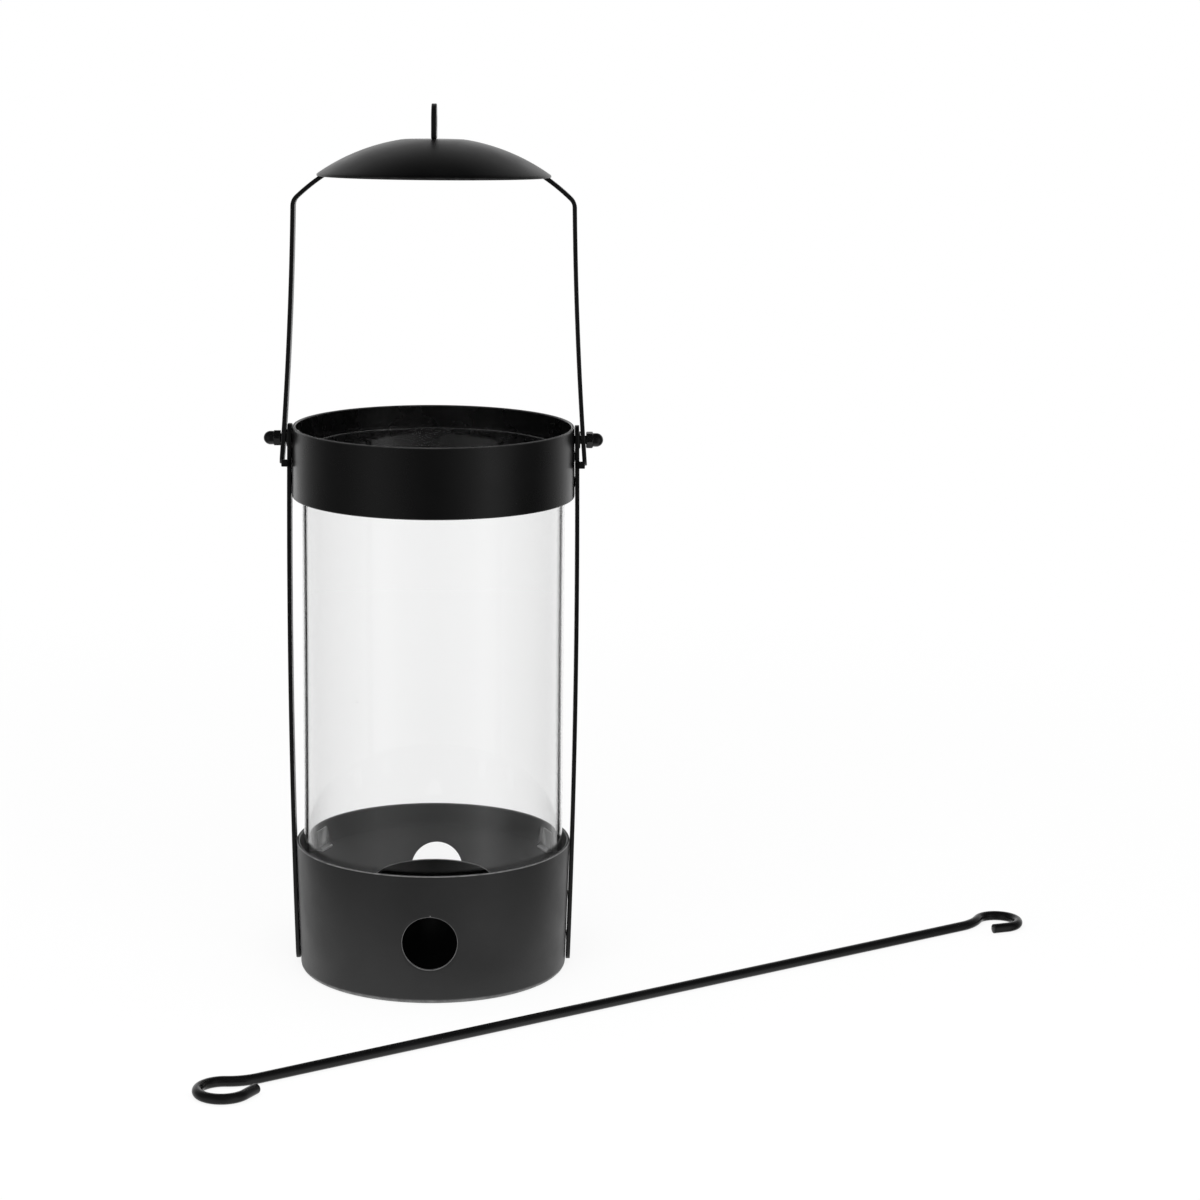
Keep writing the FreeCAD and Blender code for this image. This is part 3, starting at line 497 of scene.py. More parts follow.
speck = math_node(dust_group, "MULTIPLY", inside, 60.0, clamp=True)
specks = math_node(dust_group, "MULTIPLY", speck, picked)
cloud = noise_node(dust_group, 26.0, 8.0)
lifted = math_node(dust_group, "SUBTRACT", cloud, 0.5)
haze = math_node(dust_group, "MULTIPLY", lifted, 3.0, clamp=True)
dust_group.links.new(specks, made.inputs["Specks"])
dust_group.links.new(haze, made.inputs["Haze"])

# Edge lift, partly wear and partly a painted highlight: the mesh's own edge attribute, broken up by noise.
wear_and_highlight_group, given, made = new_group(
    "edge_wear_and_highlight", [("Amount", 0.5), ("Break Scale", 300.0)], [("Wear And Highlight", "NodeSocketFloat")])
edge_value = wear_and_highlight_group.nodes.new("ShaderNodeAttribute")
edge_value.attribute_name = "edge"
breaking = noise_node(wear_and_highlight_group, given.outputs["Break Scale"], 4.0)
sharper = math_node(wear_and_highlight_group, "MULTIPLY", breaking, 1.6)
broken = math_node(wear_and_highlight_group, "MULTIPLY", edge_value.outputs["Fac"], sharper)
wear_and_highlight_share = math_node(wear_and_highlight_group, "MULTIPLY", broken, given.outputs["Amount"], clamp=True)
wear_and_highlight_group.links.new(wear_and_highlight_share, made.inputs["Wear And Highlight"])


def place_group(nodes, tree, **values):
    """Puts a group in a material with that material's own values."""
    node = nodes.new("ShaderNodeGroup")
    node.node_tree = tree
    for label, number in values.items():
        node.inputs[label.replace("_", " ")].default_value = number
    return node


def mixed_colour(nodes, join, share, low, high):
    """The colour low where share is 0 and high where it is 1."""
    mix = nodes.new("ShaderNodeMix")
    mix.data_type = "RGBA"
    join(share, mix.inputs[0])
    for socket, colour in ((mix.inputs[6], low), (mix.inputs[7], high)):
        if isinstance(colour, tuple):
            socket.default_value = (*colour, 1.0)
        else:
            join(colour, socket)
    return mix.outputs[2]


def black_coat(name, black, wear_and_highlight_colour, gloss, peel_depth, grain_scale, wear_and_highlight_amount, share, mirror=0.5):
    """Black powder coat: its colour lifts at the rounded edges, as wear and as a painted highlight, and at dust,
    its roughness wanders between the two gloss values with the mottle, and the orange peel is a bump of peel_depth
    metres."""
    material, nodes, join = new_material(name)
    coat = nodes.new("ShaderNodeBsdfPrincipled")
    coat.inputs["Specular IOR Level"].default_value = mirror
    out = nodes.new("ShaderNodeOutputMaterial")
    powder = place_group(nodes, powder_group, Grain_Scale=grain_scale)
    dust = place_group(nodes, dust_group, Share=share)
    wear_and_highlight = place_group(nodes, wear_and_highlight_group, Amount=wear_and_highlight_amount)
    dark = tuple(0.75 * part for part in black)
    pale = tuple(1.3 * part for part in black)
    coated = mixed_colour(nodes, join, powder.outputs["Mottle"], dark, pale)
    hazed = mixed_colour(nodes, join, dust.outputs["Haze"], coated, tuple(1.8 * part for part in black))
    # The rounded edges take the pale edge colour: a painted highlight together with wear.
    worn_and_highlighted = mixed_colour(nodes, join, wear_and_highlight.outputs["Wear And Highlight"], hazed, wear_and_highlight_colour)
    dusty = mixed_colour(nodes, join, dust.outputs["Specks"], worn_and_highlighted, (0.35, 0.34, 0.33))
    join(dusty, coat.inputs["Base Color"])
    wander = nodes.new("ShaderNodeMapRange")
    wander.inputs["From Min"].default_value = 0.3
    wander.inputs["From Max"].default_value = 0.7
    wander.inputs["To Min"].default_value = gloss[0]
    wander.inputs["To Max"].default_value = gloss[1]
    join(powder.outputs["Mottle"], wander.inputs["Value"])
    join(wander.outputs[0], coat.inputs["Roughness"])
    bump = nodes.new("ShaderNodeBump")
    bump.inputs["Distance"].default_value = peel_depth
    bump.inputs["Strength"].default_value = 1.0
    join(powder.outputs["Height"], bump.inputs["Height"])
    join(bump.outputs[0], coat.inputs["Normal"])
    join(coat.outputs[0], out.inputs["Surface"])
    return material


# The cup's pale edge colour paints a highlight on its rims and hole lips, together with wear.
cup_coat = black_coat("cup_powder_coat", (0.006, 0.006, 0.0062), (0.20, 0.20, 0.20), (0.36, 0.46),
                      0.00002, 900.0, 1.0, 0.10, mirror=0.7)

# Inside the cup the coat is painted pale: painted light for the light falling in through the glass,
# together with dust.  The inside is where the distance from the axis, less the wall's slope, is under the middle
# of the wall.
nodes, join = cup_coat.node_tree.nodes, cup_coat.node_tree.links.new
wall_slope = (cup_radius - foot_radius) / (cup_height - cup_corner)
middle_radius = (cup_face(0) - cup_wall / 2) * MM
cup_place = nodes.new("ShaderNodeTexCoord")
from_axis = nodes.new("ShaderNodeVectorMath")
from_axis.operation = "MULTIPLY"
from_axis.inputs[1].default_value = (1.0, 1.0, 0.0)
axis_distance = nodes.new("ShaderNodeVectorMath")
axis_distance.operation = "LENGTH"
cup_parts = nodes.new("ShaderNodeSeparateXYZ")
join(cup_place.outputs["Object"], from_axis.inputs[0])
join(from_axis.outputs[0], axis_distance.inputs[0])
join(cup_place.outputs["Object"], cup_parts.inputs[0])
sloped = math_node(cup_coat.node_tree, "MULTIPLY", cup_parts.outputs["Z"], -wall_slope)
upright = math_node(cup_coat.node_tree, "ADD", axis_distance.outputs["Value"], sloped)
is_inside = math_node(cup_coat.node_tree, "LESS_THAN", upright, middle_radius)
# The pale grey 0.14 inside is painted light together with dust.
inside_light_and_dust_share = math_node(cup_coat.node_tree, "MULTIPLY", is_inside, 0.85)
principled = next(node for node in nodes if node.type == "BSDF_PRINCIPLED")
outer_colour = principled.inputs["Base Color"].links[0].from_socket
join(mixed_colour(nodes, join, inside_light_and_dust_share, outer_colour, (0.14, 0.14, 0.14)), principled.inputs["Base Color"])
fit(base_cup, cup_coat, "frame", "powder_coat", "base_cup")

# ---------------------------------------------------------------- centre pot
# A thin spun pot that stands on the cup's floor, open at the top, coated with the cup.

pot_radius, pot_top, pot_wall, cup_floor = 28.2, 43.9, 1.0, 1.5
pot_outline, pot_edges = rounded(
    [(0, cup_floor), (pot_radius, cup_floor), (pot_radius, pot_top), (pot_radius - pot_wall, pot_top),
     (pot_radius - pot_wall, cup_floor + pot_wall), (0, cup_floor + pot_wall)],
    [0, 0.8, 0.4, 0.4, 0.5, 0])
even_angles = np.linspace(0, 2 * math.pi, 193)[:-1]
centre_pot = new_piece("centre_pot_spun", turned(pot_outline[1:-1], even_angles), pot_edges[1:-1, None])
# The pot's pale edge colour paints a highlight on its rim, together with wear.
pot_coat = black_coat("pot_powder_coat", (0.002, 0.002, 0.0021), (0.20, 0.20, 0.20), (0.36, 0.46),
                      0.00002, 900.0, 1.0, 0.06, mirror=0.3)
fit(centre_pot, pot_coat, "frame", "powder_coat", "centre_pot")

# ---------------------------------------------------------------- glass seats
# Four small angles of bare zinc-plated sheet, folded once and fixed inside the cup's wall.  The
# tube stands on their shelves and their legs keep it in the middle.


seat_sheet, seat_width, seat_reach, seat_rise = 1.0, 11.0, 6.0, 8.5
glass_bottom, seat_bearing, seat_round, seat_fit = 51.2, 23.0, 0.3, 0.3
seat_back = cup_face(glass_bottom) - cup_wall - seat_fit


def folded_seat(name, bearing):
    """The L of the sheet, rounded at its fold and its edges, carried across the seat's width."""
    outline, edges = rounded(
        [(seat_back - seat_reach, -seat_sheet), (seat_back, -seat_sheet), (seat_back, seat_rise),
         (seat_back - seat_sheet, seat_rise), (seat_back - seat_sheet, 0), (seat_back - seat_reach, 0)],
        [seat_round, 1.4, seat_round, seat_round, 0.4, seat_round], guard=0.3)
    middle = outline.mean(axis=0)
    inset = seat_round * (1 - np.cos(np.linspace(0, math.pi / 2, 4)))
    depth = seat_round * (1 - np.sin(np.linspace(0, math.pi / 2, 4)))
    shrink = np.concatenate([depth, [0.0], [0.0], depth[::-1]])
    place = np.concatenate([inset, [seat_round + 0.4], [seat_width - seat_round - 0.4],
                            seat_width - inset[::-1]]) - seat_width / 2
    inward = outline - np.roll(outline, 1, axis=0) + np.roll(outline, -1, axis=0) - outline
    normal = np.stack([inward[:, 1], -inward[:, 0]], axis=1)
    normal /= np.linalg.norm(normal, axis=1, keepdims=True)
    rows = outline[None] - normal[None] * shrink[:, None, None]
    turn = math.radians(bearing)
    along, upward = rows[:, :, 0], rows[:, :, 1]
    across = np.broadcast_to(place[:, None], along.shape)
    points = np.stack([along * math.cos(turn) - across * math.sin(turn),
                       along * math.sin(turn) + across * math.cos(turn), upward + glass_bottom], axis=2)
    edge_weight = np.maximum(edges[None], np.minimum(1.0, shrink[:, None] / seat_round))
    return new_piece(name, points, edge_weight)


zinc, nodes, join = new_material("zinc_plated_sheet")
plate = nodes.new("ShaderNodeBsdfPrincipled")
plate.inputs["Metallic"].default_value = 0.6
powder = place_group(nodes, powder_group, Grain_Scale=1500.0, Mottle_Scale=220.0)
wear_and_highlight = place_group(nodes, wear_and_highlight_group, Amount=0.8)
plated = mixed_colour(nodes, join, powder.outputs["Mottle"], (0.40, 0.41, 0.42), (0.66, 0.66, 0.65))
# The pale edge colour 0.80 is wear together with a painted highlight on the sheet's edges.
edged = mixed_colour(nodes, join, wear_and_highlight.outputs["Wear And Highlight"], plated, (0.80, 0.80, 0.79))
join(edged, plate.inputs["Base Color"])
rough = nodes.new("ShaderNodeMapRange")
rough.inputs["To Min"].default_value = 0.28
rough.inputs["To Max"].default_value = 0.5
join(powder.outputs["Mottle"], rough.inputs["Value"])
join(rough.outputs[0], plate.inputs["Roughness"])
bump = nodes.new("ShaderNodeBump")
bump.inputs["Distance"].default_value = 0.00002
join(powder.outputs["Height"], bump.inputs["Height"])
join(bump.outputs[0], plate.inputs["Normal"])
zinc_out = nodes.new("ShaderNodeOutputMaterial")
join(plate.outputs[0], zinc_out.inputs["Surface"])

for corner, bearing in (("front_right", -seat_bearing), ("back_right", seat_bearing),
                        ("back_left", 180 - seat_bearing), ("front_left", 180 + seat_bearing)):
    seat = folded_seat(f"glass_seat_{corner}_folded", bearing)
    fit(seat, zinc, "frame", "seat_steel", f"glass_seat_{corner}")

# ---------------------------------------------------------------- glass tube
# A length of clear borosilicate tube, 2 mm thick, whose cut ends are melted round.  It stands
# loose on the seats and is lifted out at the top.

glass_radius, glass_wall, glass_height, glass_rest = 61.7, 2.0, 200.5, 0.05
tube_low = glass_bottom + glass_rest
tube_high = tube_low + glass_height
tube_outline, tube_edges = rounded(
    [(glass_radius, tube_low), (glass_radius, tube_high), (glass_radius - glass_wall, tube_high),
     (glass_radius - glass_wall, tube_low)], [0.7] * 4, steps=7, guard=0.25)
tube_angles = np.linspace(0, 2 * math.pi, 289)[:-1]
glass_tube = new_piece("glass_tube_drawn", turned(tube_outline, tube_angles), tube_edges[:, None], ring=True)

clear_glass, nodes, join = new_material("borosilicate_glass")
glass = nodes.new("ShaderNodeBsdfPrincipled")
glass.inputs["Transmission Weight"].default_value = 1.0
glass.inputs["IOR"].default_value = 1.47
dust = place_group(nodes, dust_group, Speck_Scale=75.0, Speck_Size=0.05, Share=0.05)
glass_colour = mixed_colour(nodes, join, dust.outputs["Specks"], (0.997, 0.998, 0.998), (0.12, 0.12, 0.12))
join(glass_colour, glass.inputs["Base Color"])
smear = nodes.new("ShaderNodeMapRange")
smear.inputs["To Min"].default_value = 0.0
smear.inputs["To Max"].default_value = 0.03
join(dust.outputs["Haze"], smear.inputs["Value"])
join(smear.outputs[0], glass.inputs["Roughness"])
lamp_ray = nodes.new("ShaderNodeLightPath")
lets_lamps_in = nodes.new("ShaderNodeBsdfTransparent")
lets_lamps_in.inputs["Color"].default_value = (0.93, 0.935, 0.935, 1.0)
glass_mix = nodes.new("ShaderNodeMixShader")
glass_out = nodes.new("ShaderNodeOutputMaterial")
join(lamp_ray.outputs["Is Shadow Ray"], glass_mix.inputs["Fac"])
join(glass.outputs[0], glass_mix.inputs[1])
join(lets_lamps_in.outputs[0], glass_mix.inputs[2])
join(glass_mix.outputs[0], glass_out.inputs["Surface"])
fit(glass_tube, clear_glass, "tube", "clear_glass", "glass_tube")

# ---------------------------------------------------------------- top collar
# A rolled band of 1.5 mm sheet round the tube's upper end, with a drilled hole on each side for
# the pivot screw.  It has the same powder coat, a little smoother and deeper black.

collar_radius, collar_foot, collar_wall, collar_low, collar_high = 65.85, 66.2, 1.5, 229.2, 262.2
pivot_height, clear_bore, screw_block = 255.9, 2.15, 4.4


def collar_face(height):
    """Outer radius of the collar, which narrows a little towards its upper edge."""
    return collar_foot + (collar_radius - collar_foot) * (height - collar_low) / (collar_high - collar_low)


band_outline, band_edges = rounded(
    [(collar_foot, collar_low), (collar_radius, collar_high), (collar_radius - collar_wall, collar_high),
     (collar_foot - collar_wall, collar_low)], [rim_round] * 4, steps=5)
quarter = len(band_outline) // 4
band_heights = np.unique(np.concatenate([
    span(collar_low + 1.5, pivot_height - screw_block, 4),
    pivot_height + np.linspace(-1, 1, 7) * screw_block]))
band_outer = np.stack([collar_face(band_heights), band_heights], axis=1)
band_inner = band_outer[::-1] - (collar_wall, 0)
band_profile = np.vstack([band_outline[:quarter], band_outer, band_outline[quarter:3 * quarter], band_inner,
                          band_outline[3 * quarter:]])
band_edge_weight = np.concatenate([band_edges[:quarter], 0 * band_heights, band_edges[quarter:3 * quarter],
                            0 * band_heights, band_edges[3 * quarter:]])
outer_first = quarter
inner_first = 3 * quarter + len(band_heights)
screw_rows = np.flatnonzero(np.abs(band_heights - pivot_height) < screw_block + 0.01)

screw_half = math.asin(screw_block / collar_radius)
screw_angles = np.arcsin(np.linspace(-1, 1, 9) * math.sin(screw_half))
plain_angles = span(screw_half - math.pi, -screw_half, math.radians(1.5))
band_angles = np.concatenate([plain_angles, screw_angles, plain_angles + math.pi, screw_angles + math.pi])
screw_holes = []
for side, first_column in ((1, len(plain_angles)), (-1, 2 * len(plain_angles) + len(screw_angles))):
    hole_columns = first_column + np.arange(len(screw_angles))
    screw_holes.append((
        (outer_first + screw_rows, hole_columns),
        (inner_first + len(band_heights) - 1 - screw_rows, hole_columns),
        (0, 0, pivot_height), (1, 0, 0), clear_bore, 0.15,
        on_wall(collar_face, 0, side, 1, 0), on_wall(collar_face, collar_wall, side, 1, 0)))
top_collar = new_piece("top_collar_rolled", turned(band_profile, band_angles), band_edge_weight[:, None],
                       ring=True, holes=screw_holes)
collar_coat = black_coat("collar_powder_coat", (0.001, 0.001, 0.00105), (0.06, 0.06, 0.06), (0.24, 0.32),
                         0.00001, 1100.0, 0.7, 0.05, mirror=0.6)
fit(top_collar, collar_coat, "frame", "powder_coat", "top_collar")

# ---------------------------------------------------------------- side straps
# Flat bars 10 by 2 mm, bowed a little outwards, spot-welded to the cup and the collar.  Each has
# rounded ends, a drilled hole for the pivot screw, and a small tab bent out in front as a stop.

bar_thickness, bar_width, bar_round, end_round = 2.0, 10.0, 0.4, 4.6
strap_low, strap_high, strap_low_x, strap_high_x, strap_bow = 2.5, 262.8, 63.85, 66.0, 5500.0
bore_block = 3.2
bore_steps = np.linspace(-bore_block, bore_block, 7)
end_steps = np.concatenate([bar_round * (1 - np.cos(np.linspace(0, math.pi / 2, 5)))[:-1],
                            end_round * (1 - np.cos(np.linspace(0.42, math.pi / 2, 10)))])


def arc(start, stop, radius, count):
    """Points of the arc of that radius from start to stop, with its centre on the left of the way
    for a positive radius and on the right for a negative one."""
    start, stop = np.array(start, float), np.array(stop, float)
    chord = stop - start
    rise = math.sqrt(radius ** 2 - chord @ chord / 4) * np.sign(radius)
    centre = (start + stop) / 2 + np.array([-chord[1], chord[0]]) / np.linalg.norm(chord) * rise
    angles = np.unwrap([math.atan2(*(point - centre)[::-1]) for point in (start, stop)])
    sweep = np.linspace(*angles, count)[:, None]
    return centre + abs(radius) * np.hstack([np.cos(sweep), np.sin(sweep)])


def at_lengths(line, lengths):
    """The points of a polyline at those distances along it."""
    along = np.concatenate([[0], np.cumsum(np.linalg.norm(np.diff(line, axis=0), axis=1))])
    return np.stack([np.interp(lengths, along, line[:, part]) for part in range(line.shape[1])], axis=1)


def left_of(line):
    """Unit vectors at right angles to a flat line, on the left of the way along it."""
    way = np.gradient(line, axis=0)
    way /= np.linalg.norm(way, axis=1, keepdims=True)
    return np.stack([-way[:, 1], way[:, 0]], axis=1)


def bar_section():
    """The bar's section (across, out), once round: two flats with even steps where holes are cut,
    joined by corners of radius bar_round, with its edge values and its two blocks of columns."""
    bend = np.linspace(0, math.pi / 2, 4)
    side, top = bar_width / 2 - bar_round, bar_thickness / 2 - bar_round
    flat = np.concatenate([[0.4 - side], bore_steps, [side - 0.4]])
    corner = np.stack([side + bar_round * np.sin(bend), top + bar_round * np.cos(bend)], axis=1)
    half = np.vstack([np.stack([flat, np.full_like(flat, top + bar_round)], axis=1), corner,
                      corner[::-1] * (1, -1)])
    edge = np.concatenate([0 * flat, np.sin(2 * bend), np.sin(2 * bend)]) ** 0.5
    outer_columns = 1 + np.arange(len(bore_steps))
    return np.vstack([half, -half]), np.tile(edge, 2), outer_columns, (len(half) + outer_columns)[::-1]


def flat_bar(name, line, bores, bore_radius, place):
    """The bar's section carried along its outer face's line (x, z), which is walked with the bar
    on its left.  Its ends are swung round by end_round; bores are the places of holes along X."""
    section, edge, outer_columns, inner_columns = bar_section()
    along = np.concatenate([[0], np.cumsum(np.linalg.norm(np.diff(line, axis=0), axis=1))])
    from_end = np.minimum(along, along[-1] - along)[:, None]
    swing = np.clip(end_round - from_end, 0, end_round)
    pulled = end_round - np.sqrt(end_round ** 2 - swing ** 2)
    across = section[None, :, 0]
    across = np.sign(across) * np.maximum(np.abs(across) - pulled, np.abs(across) * 0.07)
    thinning = np.clip(1 - from_end / bar_round, 0, 1)
    thinning = bar_round * (1 - np.sqrt(1 - thinning ** 2)) / (bar_thickness / 2)
    out = section[None, :, 1] * (1 - thinning)
    left = left_of(line)
    depth = bar_thickness / 2 - out
    points = np.stack([line[:, :1] + left[:, :1] * depth, np.broadcast_to(across, depth.shape),
                       line[:, 1:] + left[:, 1:] * depth], axis=2)
    holes = []
    for x, z in bores:
        rows = np.flatnonzero((np.abs(line[:, 1] - z) < bore_block + 0.01) & (np.abs(line[:, 0] - x) < 8))

        def face_at(column):
            heights, faces = points[rows, column, 2], points[rows, column, 0]
            order = np.argsort(heights)
            return heights[order], faces[order]

        def on_face(heights, faces):
            def place_points(some):
                some = some.copy()
                some[..., 0] = np.interp(some[..., 2], heights, faces)
                return some
            return place_points

        middle = len(bore_steps) // 2
        holes.append(((rows, outer_columns), (rows, inner_columns), (x, 0, z), (1, 0, 0), bore_radius, 0.15,
                      on_face(*face_at(outer_columns[middle])), on_face(*face_at(inner_columns[middle]))))
    edge_weight = np.maximum(edge[None], np.clip(1 - from_end / 0.5, 0, 1))
    return new_piece(name, points, edge_weight, holes=holes, place=place)


def half_turned(points):
    """The same piece on the left side, turned half round the Z axis."""
    return points * (-1, -1, 1)


def as_made(points):
    return points


def strap_line():
    """The strap's outer face from its lower to its upper end, at the heights it needs."""
    face = arc((strap_low_x + bar_thickness, strap_low), (strap_high_x + bar_thickness, strap_high),
               strap_bow + bar_thickness, 400)
    heights = np.concatenate([
        strap_low + end_steps, span(strap_low + end_round, pivot_height - bore_block, 6),
        pivot_height + bore_steps, (strap_high - end_steps)[(strap_high - end_steps) > pivot_height + bore_block]])
    heights = np.unique(np.round(heights, 4))
    return np.stack([np.interp(heights, face[:, 1], face[:, 0]), heights], axis=1)


lug_low, lug_height, lug_out, lug_front = 243.3, 3.3, 70.8, 5.35
lug_middle = lug_low + lug_height / 2


def stop_tab(name, side):
    """A strip of the strap's edge, bent out: a rounded section carried round a quarter turn."""
    run_x, run_y, turn_radius = strap_high_x + 1.15, lug_front + bar_thickness / 2, 1.3
    bend = np.linspace(0, math.pi / 2, 9)
    line = np.vstack([
        np.stack([np.full(4, run_x), -np.linspace(3.6, run_y - turn_radius - 0.05, 4)], axis=1),
        np.stack([run_x + turn_radius * (1 - np.cos(bend)),
                  -(run_y - turn_radius) - turn_radius * np.sin(bend)], axis=1),
        np.stack([np.append(np.linspace(run_x + turn_radius + 0.05, lug_out - 0.3, 4),
                            [lug_out - 0.12, lug_out]), np.full(6, -run_y)], axis=1)])
    outline, edge = rounded(
        [(-0.85, -lug_height / 2), (0.85, -lug_height / 2), (0.85, lug_height / 2), (-0.85, lug_height / 2)],
        [0.35] * 4, guard=0.3)
    shrink = np.ones(len(line))
    shrink[-3:] = (1.0, 0.93, 0.78)
    left = left_of(line)
    spread = outline[None] * shrink[:, None, None]
    points = np.stack([line[:, :1] + left[:, :1] * spread[:, :, 0], line[:, 1:] + left[:, 1:] * spread[:, :, 0],
                       lug_middle + spread[:, :, 1]], axis=2)
    return new_piece(name, points * (side, 1, 1), np.maximum(edge[None], (shrink < 1)[:, None]))


strap_coat = black_coat("strap_powder_coat", (0.002, 0.002, 0.0021), (0.02, 0.02, 0.02), (0.34, 0.42),
                        0.00001, 1100.0, 0.4, 0.06)
for name, side, place in (("left", -1, half_turned), ("right", 1, as_made)):
    line = strap_line()
    bore_x = np.interp(pivot_height, line[:, 1], line[:, 0])
    strap = flat_bar(f"side_strap_{name}_bar", line, [(bore_x, pivot_height)], clear_bore, place)
    fit(strap, strap_coat, "frame", "powder_coat", f"side_strap_{name}")
    tab = stop_tab(f"stop_tab_{name}", side)
    tab.data.materials.append(strap_coat)
    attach(tab, "frame")
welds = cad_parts["strap_welds"]
welds.data.materials.clear()
welds.data.materials.append(strap_coat)

# ---------------------------------------------------------------- pivot screws, washers and domed nuts
# M4 hardware in a glossier black plating: a button-head screw from inside the collar with a
# hexagon socket, a flat washer between strap and bail, and a domed nut outside the bail.

bolt_radius, head_radius, head_height, head_seat, bolt_length = 2.0, 3.8, 2.0, 64.27, 11.7
socket_flats, socket_depth, tip_chamfer = 2.5, 1.3, 0.4
washer_start, washer_radius, washer_thickness = 68.18, 4.0, 0.43
nut_start, nut_flats, nut_hex, nut_height, nut_dome, nut_turn = 71.35, 7.0, 3.2, 8.0, 3.2, 24.0


def hexagon_radius(flats, angles, turned_by=0.0):
    """Distance from the middle to a hexagon's side: flats / 2 / cos(angle within its sector)."""
    sector = np.mod(angles - turned_by, math.pi / 3) - math.pi / 6
    return flats / 2 / np.cos(sector)


def along_x(distance, radius, angles):
    """Rings round the X axis at pivot height: point = (distance, r cos a, r sin a)."""
    radius = radius + 0 * angles
    return np.stack([np.broadcast_to(distance, radius.shape), radius * np.cos(angles),
                     pivot_height + radius * np.sin(angles)], axis=2)


def button_screw(name, place):
    """The head's dome, its hexagon socket and the shank, as rings from the socket to the tip."""
    angles = np.linspace(0, 2 * math.pi, 97)[:-1]
    top = head_seat - head_height
    mouth = hexagon_radius(socket_flats, angles)
    crown = np.linspace(0.12, 1, 12)[:, None]
    dome_r = 2.0 + (head_radius - 2.0) * np.sin(crown * math.pi / 2)
    dome_x = top + head_height * 0.75 * (1 - np.cos(crown * math.pi / 2))
    rings_x = [top + socket_depth, top + socket_depth, top + 0.15, top + 0.03, top]
    rings_r = [mouth * 0.5, mouth, mouth, mouth + 0.03, mouth + 0.15]
    flat_x = [top, head_seat - 0.15, head_seat - 0.04, head_seat, head_seat, head_seat]
    flat_r = [2.0 + 0 * angles] + [head_radius + 0 * angles - cut for cut in (0.0, 0.03, 0.15, 1.5)]
    flat_r.append(bolt_radius + 0 * angles)
    end = head_seat + bolt_length
    tail_x = [head_seat + 0.1, end - tip_chamfer, end, end]
    tail_r = [bolt_radius + 0 * angles, bolt_radius + 0 * angles, bolt_radius - tip_chamfer + 0 * angles,
              0.8 + 0 * angles]
    radius = np.vstack([rings_r, flat_r[:1], dome_r + 0 * angles, flat_r[1:], tail_r])
    distance = np.concatenate([rings_x, flat_x[:1], dome_x.ravel(), flat_x[1:], tail_x])[:, None]
    edge_weight = np.isin(distance, (top, head_seat)) * 0.6
    return new_piece(name, along_x(distance, radius, angles), edge_weight, place=place)


def flat_washer(name, place):
    """A thin ring with rounded edges."""
    angles = np.linspace(0, 2 * math.pi, 97)[:-1]
    outline, edges = rounded(
        [(washer_start, bolt_radius + 0.05), (washer_start + washer_thickness, bolt_radius + 0.05),
         (washer_start + washer_thickness, washer_radius), (washer_start, washer_radius)], [0.12] * 4, guard=0.2)
    points = along_x(outline[:, :1], outline[:, 1:], angles)
    return new_piece(name, points, edges[:, None], ring=True, place=place)


def domed_nut(name, place):
    """The hexagon is the smaller of its sides and a 30 degree chamfer cone, then a short neck and
    most of a half ball; inside is the blind thread bore."""
    angles = np.linspace(0, 2 * math.pi, 145)[:-1]
    sides = hexagon_radius(nut_flats, angles, math.radians(90 - nut_turn))
    corner_reach = nut_flats / 2 / math.cos(math.pi / 6)
    heights = np.concatenate([np.linspace(0, 0.6, 7), np.linspace(0.8, nut_hex - 0.8, 5),
                              np.linspace(nut_hex - 0.6, nut_hex, 7)])[:, None]
    from_face = np.minimum(heights, nut_hex - heights)
    cone = nut_flats / 2 - 0.1 + from_face / math.tan(math.radians(30))
    prism = np.minimum(np.minimum(sides[None], cone), corner_reach - 0.05)
    ball = np.linspace(0, math.pi / 2 - 0.04, 14)[:, None]
    ball_x = nut_start + nut_height - nut_dome + nut_dome * np.sin(ball)
    neck = [nut_dome + 0.06, nut_dome - 0.02, nut_dome]
    neck_x = nut_start + nut_hex + np.array([0.02, 0.16, 0.4])
    bore_depth, bore = 5.5, 2.02
    inside_x = nut_start + np.array([bore_depth, bore_depth, bore_depth - 0.1, 0.3, 0.0])
    inside_r = [0.6, bore - 0.1, bore, bore, bore + 0.3]
    radius = np.vstack([np.array(inside_r)[:, None] + 0 * angles, prism, np.array(neck)[:, None] + 0 * angles,
                        nut_dome * np.cos(ball) + 0 * angles])
    distance = np.concatenate([inside_x, nut_start + heights.ravel(), neck_x, ball_x.ravel()])[:, None]
    chamfered = np.vstack([np.zeros((5, len(angles))), (cone < sides) * 0.7, np.zeros((17, len(angles)))])
    return new_piece(name, along_x(distance, radius, angles), chamfered, place=place)


plating = black_coat("black_plating", (0.003, 0.003, 0.0031), (0.08, 0.08, 0.08), (0.16, 0.26),
                     0.000005, 1600.0, 0.5, 0.02)
for name, place in (("left", half_turned), ("right", as_made)):
    fit(button_screw(f"pivot_screw_{name}_button", place), plating, "frame", "black_hardware",
        f"pivot_screw_{name}")
    fit(flat_washer(f"pivot_washer_{name}_ring", place), plating, "frame", "black_hardware",
        f"pivot_washer_{name}")
    fit(domed_nut(f"domed_nut_{name}_cap", place), plating, "frame", "black_hardware", f"domed_nut_{name}")

# ---------------------------------------------------------------- bail
# One flat bar bent into two long arms and an arch.  It swings on the pivot screws and leans back
# a little on the stop tabs.  The same powder coat as the straps.

